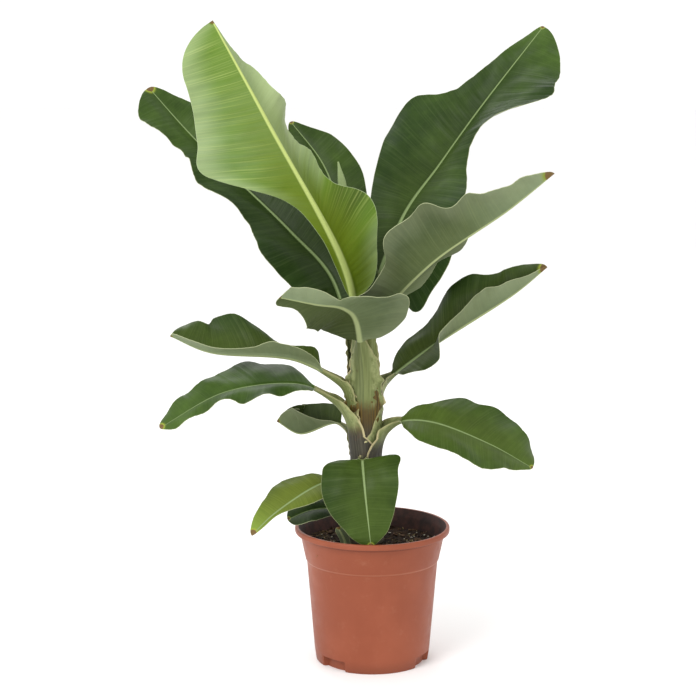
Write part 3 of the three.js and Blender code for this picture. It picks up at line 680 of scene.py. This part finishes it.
# Where a blade's painted back-light glow is full and where it fades, along it and beside its midrib.
BACKLIGHT_ALONG = (90, 480)  # millimetres from the blade's base where its glow is still full, and gone
BACKLIGHT_ACROSS = (10, 38)  # millimetres beside the midrib that it stays full, and over which it fades

# Wavelength and height of the waves that shape a blade, its margin and its sheath's wings.
SWELLS = [(95, 1.6), (52, 1.1), (27, 0.5)]
FLUTTER = [(31, 1.2), (14, 0.5)]
PLEATS = [(7.3, 0.16), (4.9, 0.128)]
WING_CRINKLE = [(17, 0.8), (9, 0.5)]
WING_CRUMPLE = [(13, 2.4), (7, 1.3)]


def blade_share(leaf, s):
    """Where a share s of the whole leaf lies on its blade: 0 at the base and 1 at the tip."""
    return (s - leaf["stalk"]) / (1 - leaf["stalk"])


def stalk_half_width(leaf, s):
    """Half the width of the stalk, or of the midrib beyond it, at a share s of the leaf."""
    foot = leaf["stalk_half_width"]
    end = foot * STALK_NARROWING
    on_stalk = lerp(foot, end, s / leaf["stalk"])
    on_blade = lerp(end, RIB_TIP, blade_share(leaf, s))
    return np.where(s < leaf["stalk"], on_stalk, on_blade)


def blade_half_width(leaf, side, q):
    """How wide one half of the blade is at a share q of the way from its base to its tip."""
    from_base = np.minimum(q / BASE_ROUNDING, 1)
    from_tip = np.minimum((1 - q) / leaf["tip_rounding"], 1)
    rounding = np.sqrt((1 - (1 - from_base) ** 2) * (1 - (1 - from_tip) ** 2))
    return smooth_value(leaf[side][0], q) * rounding


def sheath_top(leaf):
    """The height at which a stalk starts to bend away from the stem."""
    return max(leaf["midrib"][0][2] - leaf["leaves"], SOIL_TOP + 6)


def channel_arc(leaf, share):
    """Radius and half width of the stalk's U at a share of its length from the sheath's top."""
    radius = stalk_half_width(leaf, share * leaf["stalk"]) * CHANNEL_ROOM
    half = radius * CHANNEL
    if not leaf["sheath"]:
        return radius, half
    _, stem_radius = stem_at(np.array(sheath_top(leaf), float))
    stem_radius = stem_radius - leaf["sheath"][2] * LAYER_THICKNESS
    stem_half = stem_radius * math.radians(leaf["opened"])
    closed = smooth_step(0, leaf["narrows"], share)
    return lerp(stem_radius, radius, closed), lerp(stem_half, half, closed)


def stem_direction(leaf, curve):
    """The way out of the stem to the leaf, as a level unit vector."""
    axis, _ = stem_at(np.array(leaf["midrib"][0][2], float))
    out = curve.at(np.array(leaf["stalk"] * 0.5)) - axis
    out[2] = 0
    return unit(out)


def sheath_path(leaf, curve):
    """Stations up the sheath and along the stalk's first half, as it bends away from the stem."""
    length, opening, layer = leaf["sheath"]
    top = sheath_top(leaf)
    out = stem_direction(leaf, curve)
    z = np.linspace(max(top - length, SOIL_TOP + 1), top, SHEATH_STATIONS)
    axis, radius = stem_at(z)
    tucked = SHEATH_TUCK * smooth_step(0.8, 1, (top - z) / length)
    radius = radius - layer * LAYER_THICKNESS - tucked
    point = axis + radius[:, None] * out
    wrap = np.radians(lerp(leaf["opened"], WRAP, np.clip((top - z) / opening, 0, 1)))
    tangent = unit(np.gradient(point, axis=0))
    up = square_to(np.repeat(-out[None], len(z), axis=0), tangent)

    s_end = leaf["stalk"] * 0.5
    t = np.linspace(0, 1, STALK_STATIONS + 1)[1:]
    end = curve.at(np.array(s_end))
    reach = np.linalg.norm(end - point[-1])
    end_tangent = curve.tangent(np.array(s_end))
    bend = hermite(point[-1], end, tangent[-1] * reach, end_tangent * reach, t[:, None])
    bend_tangent = unit(np.gradient(np.vstack([point[-1], bend]), axis=0)[1:])
    end_up = smooth_value(leaf["face"], np.array(s_end))
    bend_up = square_to(lerp(up[-1], end_up, smooth_step(0, 1, t)[:, None]), bend_tangent)
    keel = stalk_half_width(leaf, np.array(s_end)) * KEEL
    bend_radius, bend_half = channel_arc(leaf, t * 0.5)
    return dict(
        point=np.vstack([point, bend]),
        tangent=np.vstack([tangent, bend_tangent]),
        up=np.vstack([up, bend_up]),
        arc_radius=np.concatenate([radius, bend_radius]),
        arc_half=np.concatenate([radius * wrap, bend_half]),
        keel=lerp(SHEATH_KEEL, keel, smooth_step(0, 1, np.concatenate([0 * z, t]))),
        s=np.concatenate([0 * z, t * s_end]),
        frill=frill(leaf, np.concatenate([(top - z) / FRILL_LENGTH, -t])),
    )


def frill(leaf, below):
    """How far the sheath's margin is ruffled outward, most of all where it opens out."""
    return LEAST_FRILL + leaf["frill"] * smooth_step(1, 0, below) * smooth_step(-1, -0.55, below)


def blade_path(leaf, curve, s):
    """Stations on the midrib's own curve: the rest of the stalk, and the blade."""
    tangent = curve.tangent(s)
    radius, half = channel_arc(leaf, np.minimum(s / leaf["stalk"], 1))
    return dict(
        point=curve.at(s),
        tangent=tangent,
        up=square_to(smooth_value(leaf["face"], s), tangent),
        arc_radius=radius,
        arc_half=half,
        keel=stalk_half_width(leaf, s) * KEEL,
        s=s,
        frill=frill(leaf, -0.5 - s / leaf["stalk"] / 2),
    )


def leaf_path(leaf, curve):
    """Stations from the sheath's foot, where there is one, to the leaf's tip."""
    start = leaf["stalk"] * 0.5 if leaf["sheath"] else 0.0
    on_stalk = np.linspace(start, leaf["stalk"], STALK_STATIONS // 2, endpoint=False)
    if leaf["sheath"]:
        on_stalk = on_stalk[1:]
    length = curve.length * (1 - leaf["stalk"])
    even = np.linspace(0, 1, max(60, int(length / BLADE_STEP)))
    eased = (1 - np.cos(math.pi * even)) / 2
    on_blade = lerp(leaf["stalk"], 1, lerp(even, eased, 0.3))
    path = blade_path(leaf, curve, np.concatenate([on_stalk, on_blade]))
    if leaf["sheath"]:
        lower = sheath_path(leaf, curve)
        path = {key: np.concatenate([lower[key], path[key]]) for key in path}
    path["right"] = np.cross(path["tangent"], path["up"])
    path["height"] = path["point"][:, 2]
    return path


def blade_wave(leaf, side, rng, q, along, across, share, full):
    """How far the blade's surface stands off its flat half: ripple, camber, swells and pleats.

    All but the camber are gone at the midrib and the blade's base; flutter keeps to the margin.
    """
    size, count, phase = leaf[side][2]
    height = size * share**RIPPLE_GROWTH * np.minimum(1, full / FULL_RIPPLE_WIDTH)
    wave = height * np.sin(2 * math.pi * count * q + math.radians(phase))
    wave = wave + CAMBER * full * np.sin(math.pi * share)
    place = np.stack(np.broadcast_arrays(along, across), axis=-1)
    softness = smooth_step(4, 30, across) * smooth_step(0, 0.06, q)
    wave = wave + softness * waves(rng, place, SWELLS)
    loose = share**FLUTTER_GROWTH * smooth_step(8, 40, full) * smooth_step(0.02, 0.1, q)
    wave = wave + loose * waves(rng, place * [1, 0.2], FLUTTER)
    pleated = smooth_step(2, 12, across) * smooth_step(0, 0.05, q)
    return wave + pleated * waves(rng, place * [1, 0], PLEATS)


def sheath_crinkle(path, rng, share, angle, radius):
    """How far a sheath's margin and wings stand out from the stem."""
    height = path["height"][:, None]
    frilled = path["frill"][:, None]
    edge = smooth_step(0.72, 1, share) * frilled
    crinkle = edge * (0.6 + waves(rng, height[..., None] * [1, 0], WING_CRINKLE))
    wing = np.stack(np.broadcast_arrays(height, radius * angle), axis=-1)
    crumpled = smooth_step(9, 15, radius * angle) * (frilled - LEAST_FRILL) / CRUMPLE_FRILL
    return crinkle + crumpled * waves(rng, wing, WING_CRUMPLE)


def half_grid(leaf, side, path, curve, rng):
    """The points and maps of one half of the leaf, from the midrib out to the margin."""
    s = path["s"][:, None]
    q = np.clip(blade_share(leaf, s), 0, 1)
    rib = np.maximum(stalk_half_width(leaf, s), RIB_TIP)
    full = np.maximum(blade_half_width(leaf, side, q), stalk_half_width(leaf, s))
    zone = np.minimum(rib * RIB_REACH / full, RIB_SHARE)
    k = np.arange(RIB_COLUMNS + BLADE_COLUMNS + 1)
    near = np.minimum(k / RIB_COLUMNS, 1)
    far = np.maximum(k - RIB_COLUMNS, 0) / BLADE_COLUMNS
    share = zone * near + (1 - zone) * np.sin(far * math.pi / 2) ** COLUMN_POWER
    across = full * share
    along = (s - leaf["stalk"]) * curve.length
    wave = blade_wave(leaf, side, rng, q, along, across, share, full)
    advance = smooth_value(leaf["sweep"], q) * (1 - q**3) * full * share**SWEEP_GROWTH

    lift = np.radians(smooth_value(leaf[side][1], q))[..., None]
    up = path["up"][:, None, :]
    right = path["right"][:, None, :] * (1 if side == "right" else -1)
    outward = right * np.cos(lift) + up * np.sin(lift)
    normal = up * np.cos(lift) - right * np.sin(lift)
    centre = path["point"][:, None, :]
    blade = centre + outward * across[..., None] + normal * wave[..., None]
    blade = blade + path["tangent"][:, None, :] * advance[..., None]

    radius = path["arc_radius"][:, None]
    arc = path["arc_half"][:, None]
    angle = arc * share / radius
    rolled = radius + sheath_crinkle(path, rng, share, angle, radius)
    channel = centre + up * (radius - rolled * np.cos(angle))[..., None]
    channel = channel + right * (rolled * np.sin(angle))[..., None]
    opened = smooth_step(0, CHANNEL_OPENING, q)
    points = lerp(channel, blade, opened[..., None])

    reach = lerp(arc * share, across, opened)
    inward = lerp(arc, full, opened) * (1 - share)
    stalk_zone = np.minimum(arc * 1.05, rib * STALK_KEEL_REACH)
    keel_zone = lerp(stalk_zone, rib * RIB_REACH, smooth_step(0, 0.1, q))
    keel = path["keel"][:, None]
    under = SKIN + keel * hump(reach, keel_zone)
    groove = hump(reach, rib * GROOVE_REACH) * smooth_step(0, 0.08, q)
    over = SKIN - GROOVE_DEPTH * keel * groove
    near_rib = np.clip(1 - reach / (rib * lerp(*PALE_RIB, q) * leaf["rib"]), 0, 1)
    return points, over, under, along + 0 * share, reach, inward, near_rib


def leaf_grid(leaf, path, curve, rng):
    """Both halves as one grid, from the left margin over the midrib to the right margin."""
    left = half_grid(leaf, "left", path, curve, rng)
    right = half_grid(leaf, "right", path, curve, rng)
    left = [part[:, :0:-1] for part in left]
    left[4] = -left[4]
    return [np.concatenate([a, b], axis=1) for a, b in zip(left, right)]


def leaf_zones(leaf, face, path, along, reach, near_rib):
    """One face's nearness to the midrib, its yellow and painted back-light glow on the blade or
    dryness below it, and its tone with painted shade and light.

    Glow goes on past 1 where the blade's tip has dried.
    """
    blade = path["s"] >= leaf["stalk"]
    full_to, gone_from = BACKLIGHT_ALONG
    fade = smooth_step(gone_from, full_to, along)
    full_beside, fall = BACKLIGHT_ACROSS
    beside = np.exp(-((np.abs(reach) - full_beside) / fall).clip(0) ** 2)
    from_tip = np.hypot(along.max() - along, reach)
    dried = 2 * smooth_step(leaf["dry_tip"], leaf["dry_tip"] * 0.4, from_tip)
    yellow_and_backlight = leaf["yellow_and_backlight"] * fade * beside + dried
    foot = leaf["midrib"][0][2]
    start, end = leaf["dries"]
    dry = smooth_step(foot - start, foot - end, path["height"])[:, None]
    changing = np.where(blade[:, None], yellow_and_backlight, dry)
    q = blade_share(leaf, path["s"])
    left, right = (smooth_value(half, q)[:, None] for half in leaf["half_tone_and_shade"])
    # The face's tone plus each half's offset: the leaf's own colour with painted shade and light.
    tone_and_shade = smooth_value(leaf[face], q)[:, None] + np.where(reach < 0, left, right)
    return np.stack([near_rib, changing, tone_and_shade.clip(-1, 1.6)], axis=-1)


def make_leaf(leaf, number, looks, stalk_look):
    """A leaf from the foot of its sheath to its tip, as one closed thin shell."""
    rng = np.random.default_rng(100 + number)
    curve = Curve(leaf["midrib"])
    path = leaf_path(leaf, curve)
    points, over, under, along, reach, inward, near_rib = leaf_grid(leaf, path, curve, rng)
    normal = unit(np.cross(np.gradient(points, axis=1), np.gradient(points, axis=0)))
    upper = points + normal * over[..., None]
    lower = points - normal * under[..., None]
    vertices = np.concatenate([upper.reshape(-1, 3), lower.reshape(-1, 3)])

    # Faces on the blade show its upper or under face, and those below it the stalk.
    rows, columns = along.shape
    top, bottom, side = shell_faces(rows, columns)
    row = np.concatenate([np.repeat(np.arange(rows - 1), columns - 1)] * 2
                         + [side[:, 0] % (rows * columns) // columns])
    shown = np.repeat([0, 1, 1], [len(top), len(bottom), len(side)])
    index = np.where(path["s"][row] >= leaf["stalk"], shown, 2)

    leaf_map = np.stack([along, reach, inward], axis=-1).reshape(-1, 3)
    zones = [leaf_zones(leaf, face, path, along, reach, near_rib) for face in ("upper", "under")]
    maps = {"leaf_map": np.tile(leaf_map, (2, 1)), "leaf_zone": np.stack(zones).reshape(-1, 3)}
    piece = mesh_object(leaf["name"] + "_blade", vertices, np.concatenate([top, bottom, side]),
                        [*looks[leaf["kind"]], stalk_look], index, maps)
    slot = "young_leaf" if leaf["kind"] == "young" else "leaf"
    return add_piece(piece, slot, leaf["name"])


# ---------------------------------------------------------------- pseudostem and rolled leaf

STEM_SLICES = 144
STEM_RINGS = 260
STEM_GIRTH = 22  # the radius at which its ribs and lumps are spaced
STEM_RIBS = [(17.28, 0.5), (6.28, 0.3)]
STEM_LUMPS = [(60, 0.5), (30, 0.3)]
SHEATHED = (215, 335)  # the heights between which the sheaths close over the core
RECESS = (0.4, 4.6)  # how far the core lies under the stem's radius, below and above those


def make_stem(look):
    """The pseudostem inside the sheaths, ribbed by its fibres, standing out below them."""
    rng = np.random.default_rng(7)
    z = np.linspace(SOIL_TOP, STEM_SECTIONS[-1][0], STEM_RINGS)
    axis, radius = stem_at(z)
    angle = full_turn(STEM_SLICES)
    recess = lerp(*RECESS, smooth_step(*SHEATHED, z))
    place = np.stack(np.meshgrid(z, angle * STEM_GIRTH, indexing="ij"), axis=-1)
    ribs = waves(rng, place * [0.05, 1], STEM_RIBS)
    lumps = waves(rng, place, STEM_LUMPS)
    relief = 0.5 * (ribs + lumps) * smooth_step(0, 30, z - SOIL_TOP)[:, None]
    reach = (radius - recess)[:, None] + relief
    ring = np.stack([np.cos(angle), np.sin(angle), np.zeros(STEM_SLICES)], axis=-1)
    points = axis[:, None, :] + reach[..., None] * ring
    points[..., 2] = z[:, None]
    vertices, faces = close_tube(points)
    piece = mesh_object("pseudostem_core", vertices, faces, [look])
    return add_piece(piece, "stem", "pseudostem")


SPEAR_RADII = [5, 6, 6.5, 6.5, 6.3, 6, 5.8, 5.4, 1.2]  # evenly from its foot to its tip
SPEAR_TURN = 5.0  # radians that its outer edge winds round it
SPEAR_SEAM = 30  # millimetres that the veins cross between seams
SPEAR_LAP = (0.9, 1.04)  # the radius just under and on the outer edge, as shares of the whole


def make_spear(look):
    """The newest leaf, rolled into a spear with its outer edge winding round it."""
    low, high = (np.array(c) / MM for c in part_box("leaf_rolled_new"))
    axis_points = [(-15, -6, low[2]), (-22, -1, 510), (-32, 4, 590), (-39, 7, 640), (-46, 10, high[2])]
    curve = Curve(axis_points)
    s = np.linspace(0, 1, 160)
    angle = full_turn(40)
    radius = smooth_value(SPEAR_RADII, s)
    tangent = curve.tangent(s)
    side = unit(np.cross([0, 1, 0], tangent))
    front = np.cross(tangent, side)
    turn = angle[None, :] - s[:, None] * SPEAR_TURN
    seam = (turn / (2 * math.pi)) % 1
    reach = radius[:, None] * lerp(*SPEAR_LAP, seam)
    points = curve.at(s)[:, None, :] + (reach * np.cos(angle))[..., None] * side[:, None, :]
    points = points + (reach * np.sin(angle))[..., None] * front[:, None, :]
    vertices, faces = close_tube(points)
    along = np.broadcast_to(s[:, None] * curve.length, seam.shape)
    inward = np.minimum(seam, 1 - seam) * 2 * math.pi * radius[:, None] + 0.3
    leaf_map = np.stack([along, seam * SPEAR_SEAM, inward], axis=-1).reshape(-1, 3)
    ends = np.array([[0, 0, 5], [curve.length, 0, 5]])
    yellow_and_backlight, tone_and_shade = 0.35, 1.2
    maps = {
        "leaf_map": np.concatenate([leaf_map, ends]),
        "leaf_zone": np.tile([0, yellow_and_backlight, tone_and_shade], (len(vertices), 1)),
    }
    piece = mesh_object("leaf_rolled_new_spear", vertices, faces, [look], None, maps)
    return add_piece(piece, "young_leaf", "leaf_rolled_new")


# ---------------------------------------------------------------- pot and soil

POT = dict(
    height=186, base_radius=76.5, step_height=139, step_radius=89, collar_foot_radius=90.6,
    collar_top_radius=98.4, lip_foot=178, lip_radius=105, wall=2.4, floor=4, rim_inner=100.4,
    notch_height=15, notch_depth=6, notch_width=28, notch_angles=(-134, -26, 64, 154),
    notch_top_radius=78.6,
)
POT_SLICES = 240
POT_RINGS_APART = 7  # millimetres at least between the rings added along the profile
NOTCH_EASE = 0.8  # half of the degrees over which a notch's side slopes in


def rounded(corners, steps=4):
    """The profile through corners of radius, height and rounding, each rounded one a short arc."""
    points = np.array(corners, float)[:, :2]
    out = []
    for i, here in enumerate(points):
        size = corners[i][2]
        if size == 0:
            out.append(here)
            continue
        start = here + unit(points[i - 1] - here) * size
        end = here + unit(points[i + 1] - here) * size
        for t in np.linspace(0, 1, steps + 1):
            out.append((1 - t) ** 2 * start + 2 * t * (1 - t) * here + t**2 * end)
    return np.array(out)


def pot_profile():
    """Radius and height from the underside, up the outside, over the rim and down the inside."""
    p = POT
    corners = [
        (0.01, 0, 0),
        (p["base_radius"] - 0.6, 0, 0),
        (p["base_radius"], 0.8, 0),
        (p["notch_top_radius"] - 0.1, p["notch_height"] - 0.5, 0),
        (p["notch_top_radius"], p["notch_height"], 0),
        (p["step_radius"], p["step_height"], 0.6),
        (p["collar_foot_radius"], p["step_height"] + 2.2, 0.8),
        (p["collar_top_radius"], p["lip_foot"], 1.2),
        (p["lip_radius"], p["lip_foot"], 2.2),
        (p["lip_radius"], p["height"], 2.6),
        (p["rim_inner"], p["height"], 1.2),
        (p["collar_top_radius"] - p["wall"], p["lip_foot"] - 3, 1.0),
        (p["step_radius"] - p["wall"], p["step_height"], 0),
        (p["notch_top_radius"] - p["wall"] - p["notch_depth"], p["notch_height"] + p["wall"], 0),
        (p["base_radius"] - p["wall"] - p["notch_depth"], p["floor"], 0),
        (0.01, p["floor"], 0),
    ]
    return rounded(corners)


def make_pot(look, inside_shade_look):
    """The pot as one closed turned shell, its foot pushed in at the notches."""
    profile = pot_profile()
    fine = []
    for a, b in zip(profile[:-1], profile[1:]):
        steps = max(1, int(np.linalg.norm(b - a) / POT_RINGS_APART))
        fine.extend(lerp(a, b, k / steps) for k in range(steps))
    profile = np.array([*fine, profile[-1]])
    angle = full_turn(POT_SLICES)
    r = profile[:, 0][:, None] + 0 * angle
    z = profile[:, 1][:, None] + 0 * angle
    outer = (np.arange(len(profile)) < np.argmax(profile[:, 1]))[:, None]
    low = (z < POT["notch_height"] - 0.2) & (z >= 0) & outer & (r > POT["base_radius"] - 8)
    half = POT["notch_width"] / 2
    for middle in POT["notch_angles"]:
        away = np.degrees(np.abs(np.angle(np.exp(1j * (angle - math.radians(middle))))))
        inside = smooth_step(half + NOTCH_EASE, half - NOTCH_EASE, away)
        r = np.where(low, lerp(r, POT["base_radius"] - POT["notch_depth"], inside), r)
    points = np.stack([r * np.cos(angle), r * np.sin(angle), z], axis=-1)
    vertices, faces = close_tube(points)
    # Faces inside the rim take the inner-wall material, darkened as painted shade.
    rim = np.nonzero(profile[:, 1] > POT["height"] - 0.3)[0][-1]
    index = np.max(faces, axis=1) > (rim + 1) * POT_SLICES
    index[-2 * POT_SLICES:-POT_SLICES] = False
    piece = mesh_object("pot_shell", vertices, faces, [look, inside_shade_look], index, sharp=40)
    return add_piece(piece, "pot", "pot")


def pot_material():
    """Satin terracotta plastic with a faint mottle, dusty marks, a pale moulding line and a painted
    shadow under the lip.
    """
    sh = Shader("pot_plastic", specular=0.25)
    place = sh.place()
    z = sh.axes(place)[2]
    patches = sh.noise(place, 9.0, 4.0)
    grime = sh.noise(place, 60.0, 5.0, 0.65)
    colour = sh.blend(sh.ramp(patches, 0.35, 0.7), "87452d", "944f36")
    colour = sh.blend(sh.ramp(grime, 0.55, 0.8, 0.0, 0.12), colour, "b88a70")
    colour = sh.blend(sh.ramp(z, 0.02, 0.0, 0.0, 0.3), colour, "6e3e2c")
    moulding_and_shadow_lines = [
        (POT["step_height"] + 1.5, 0.0016, 0.0004, 0.25, "c07e60"),
        # Painted shadow: a dark band just under the lip, where its overhang shades the collar.
        (POT["lip_foot"] - 1.5, 0.0022, 0.0008, 0.5, "5c2c20"),
    ]
    for height, edge, core, strength, line_colour in moulding_and_shadow_lines:
        away = sh.math("ABSOLUTE", sh.subtract(z, height * MM))
        colour = sh.blend(sh.ramp(away, edge, core, 0.0, strength), colour, line_colour)
    roughness = sh.ramp(grime, 0.3, 0.75, 0.36, 0.52)
    return sh.finish(colour, roughness, sh.bump(grime, 0.0003, 0.25))


def pot_inside_shade_material():
    """The pot's inner wall, painted dark for the shade deep inside the pot as well as damp-soil
    stains.
    """
    sh = Shader("pot_inner_wall_shaded", specular=0.3)
    grime = sh.noise(sh.place(), 70.0, 5.0, 0.65)
    # Painted shade with stains: dark red-browns for the shaded inner wall.
    colour = sh.blend(sh.ramp(grime, 0.35, 0.7), "2b1a16", "4a2a22")
    return sh.finish(colour, 0.6, sh.bump(grime, 0.0006, 0.5))


SOIL_SLICES = 220
SOIL_RINGS = 110
SOIL_EDGE = 161  # the soil's height at the wall
MOUND = (86, 34)  # millimetres from its middle at which the mound starts and has its full height
SOIL_RADIUS = 90  # millimetres from the middle within which bits lie
BITS_CLEAR = 30  # millimetres round the stem's axis that are free of them
CLODS = [(34, 1.6), (17, 1.4), (9, 1.2), (5, 0.9), (3, 0.6)]


def soil_height(x, y):
    """The soil's height: a low mound round the stem's foot, with clods."""
    rng = np.random.default_rng(21)
    mound_x, mound_y = STEM_SECTIONS[0][1:3]
    away = np.hypot(x - mound_x * 0.8, y - mound_y * 0.8)
    rise = (SOIL_TOP - SOIL_EDGE - 0.5) * smooth_step(*MOUND, away)
    place = np.stack([x, y], axis=-1)
    return SOIL_EDGE + rise + waves(rng, place, CLODS) * 0.75


def make_soil(look):
    """The soil's uneven top and the plain body under it."""
    edge = POT["step_radius"] - POT["wall"] - 0.5
    up_collar = (SOIL_EDGE - POT["step_height"]) / (POT["lip_foot"] - POT["step_height"])
    top_edge = lerp(edge, POT["collar_top_radius"] - POT["wall"], up_collar) - 0.4
    share = np.linspace(0, 1, SOIL_RINGS)[1:] ** 0.8
    r = share[::-1, None] * top_edge
    ring = np.stack([np.cos(full_turn(SOIL_SLICES)), np.sin(full_turn(SOIL_SLICES))])
    x, y = r * ring[0], r * ring[1]
    top = np.stack([x, y, soil_height(x, y)], axis=-1)
    low = [
        np.stack([*radius * ring, np.full(SOIL_SLICES, z)], axis=-1)
        for radius, z in [(67, POT["floor"] + 0.5), (69, 18), (edge, POT["step_height"])]
    ]
    vertices, faces = close_tube(np.concatenate([low, top]))
    piece = mesh_object("soil_surface", vertices, faces, [look], sharp=180)
    return add_piece(piece, "soil", "soil")


def soil_bits(rng, count, length, thickness):
    """Lumpy closed bits lying about on the soil, each a short bent tube."""
    rows, columns = 5, 6
    share = np.linspace(-0.5, 0.5, rows)
    angle = full_turn(columns)
    vertices, faces = [], []
    stem_x, stem_y = STEM_SECTIONS[0][1:3]
    while len(faces) < count:
        away, turn = SOIL_RADIUS * math.sqrt(rng.uniform()), rng.uniform(0, 2 * math.pi)
        x, y = away * math.cos(turn), away * math.sin(turn)
        if math.hypot(x - stem_x, y - stem_y) < BITS_CLEAR:
            continue
        long, thick, heading = rng.uniform(*length), rng.uniform(*thickness), rng.uniform(0, math.pi)
        along = np.array([math.cos(heading), math.sin(heading), rng.uniform(-0.25, 0.25)])
        side = np.array([-math.sin(heading), math.cos(heading), 0])
        bend = rng.uniform(-0.25, 0.25) * long * (0.25 - share**2)[:, None] * 4
        centre = np.array([x, y, float(soil_height(np.array(x), np.array(y))) + thick * 0.5])
        centre = centre + along * (share * long)[:, None] + side * bend
        radius = thick * np.sqrt(1 - 3.4 * share**2)[:, None] * rng.uniform(0.7, 1.2, (rows, columns))
        ring = side * np.cos(angle)[:, None] + np.array([0, 0, 0.7]) * np.sin(angle)[:, None]
        points = centre[:, None, :] + radius[..., None] * ring
        bit, sides = close_tube(points)
        faces.append(sides + sum(len(v) for v in vertices))
        vertices.append(bit)
    return np.concatenate(vertices), np.concatenate(faces)


def make_soil_bits():
    """Bark chips, pale grains of perlite and coir fibres on top of the soil."""
    rng = np.random.default_rng(33)
    kinds = [
        ("soil_bark", 170, (4, 12), (1.0, 2.6), ("241811", "5f4630")),
        ("soil_perlite", 60, (2, 4), (1.0, 1.7), ("8f8a7c", "c9c5b8")),
        ("soil_fibres", 150, (9, 26), (0.25, 0.45), ("5a4a2c", "9c8a5c")),
    ]
    for name, count, length, thickness, colours in kinds:
        vertices, faces = soil_bits(rng, count, length, thickness)
        add_piece(mesh_object(name, vertices, faces, [bit_material(name, *colours)]), "soil")


def bit_material(name, dark, light):
    """A rough bit of the potting mix, mottled between two colours."""
    sh = Shader(name, specular=0.2)
    place = sh.place()
    spots = sh.noise(place, 260.0, 3.0, 0.6)
    colour = sh.blend(sh.ramp(sh.noise(place, 90.0, 2.0), 0.35, 0.65), dark, light)
    return sh.finish(colour, 0.85, sh.bump(spots, 0.0008, 0.6))


def soil_material():
    """Dark damp potting mix with coarse clods and a few lighter crumbs."""
    sh = Shader("potting_soil", specular=0.2)
    place = sh.place()
    coarse = sh.noise(place, 120.0, 5.0, 0.7)
    fine = sh.noise(place, 700.0, 4.0, 0.7)
    colour = sh.blend(sh.ramp(coarse, 0.3, 0.7), "17100b", "3d2b1e")
    colour = sh.blend(sh.ramp(fine, 0.6, 0.75, 0.0, 0.6), colour, "6b5038")
    return sh.finish(colour, 0.92, sh.bump(sh.add(coarse, fine), 0.002, 0.9))


# ---------------------------------------------------------------- studio

CAMERA_PLACE = (-0.033, -2.6, 0.88)
CAMERA_TARGET = (-0.033, 0, 0.43)
CAMERA_LENS = 102
WORLD_STRENGTH = 1.08
FLOOR_HALF = 15

# Each light's name and place, the height over the pot that it faces, its width and its power.
LIGHTS = [
    ("key", (-1.4, -2.0, 2.4), 0.4, 1.6, 52),
    ("fill", (2.2, -1.6, 1.4), 0.4, 1.8, 6),
    ("back", (-0.6, 2.2, 2.4), 0.5, 1.6, 16),
]


def place_facing(name, data, place, target):
    """An object of a camera or a light, in its place and turned to face a target."""
    made = bpy.data.objects.new(name, data)
    made.location = place
    made.rotation_euler = (Vector(target) - made.location).to_track_quat("-Z", "Y").to_euler()
    bpy.context.scene.collection.objects.link(made)
    return made


def make_camera():
    """The photo's view: a long lens far off, a little above the plant."""
    data = bpy.data.cameras.new("camera")
    data.lens = CAMERA_LENS
    data.clip_end = 100
    bpy.context.scene.camera = place_facing("camera", data, CAMERA_PLACE, CAMERA_TARGET)


def area_light(name, place, target, size, power):
    """A soft round light."""
    data = bpy.data.lights.new(name, "AREA")
    data.shape = "DISK"
    data.size = size
    data.energy = power
    place_facing(name, data, place, target)


def make_studio():
    """A white world, three soft lights and a wide pale floor."""
    scene = bpy.context.scene
    scene.view_settings.view_transform = "Standard"
    scene.world = bpy.data.worlds.new("studio")
    scene.world.use_nodes = True
    background = scene.world.node_tree.nodes["Background"]
    background.inputs["Color"].default_value = (1, 1, 1, 1)
    background.inputs["Strength"].default_value = WORLD_STRENGTH
    for name, place, height, size, power in LIGHTS:
        area_light(name, place, (0, 0, height), size, power)
    corners = np.array([(-1, -1, 0), (1, -1, 0), (1, 1, 0), (-1, 1, 0)]) * FLOOR_HALF
    floor = mesh_object("floor", corners / MM, np.array([[0, 1, 2, 3]]), [floor_material()])


def floor_material():
    """A plain floor, nearly as white as the photo's ground."""
    sh = Shader("pale_floor", specular=0.2)
    faint = sh.noise(sh.place(), 3.0, 2.0)
    return sh.finish(sh.blend(faint, "f6f6f5", "faf9f9"), 0.7)


# ---------------------------------------------------------------- assembly

def main():
    """The studio, then every piece of the plant and its pot."""
    make_camera()
    make_studio()
    looks = make_leaf_materials()
    stalk_look = stalk_material()
    for number, leaf in enumerate(LEAVES):
        make_leaf({**LEAF_DEFAULTS, **leaf}, number, looks, stalk_look)
    make_stem(stem_material())
    make_spear(looks["young"][1])
    make_pot(pot_material(), pot_inside_shade_material())
    make_soil(soil_material())
    make_soil_bits()


main()
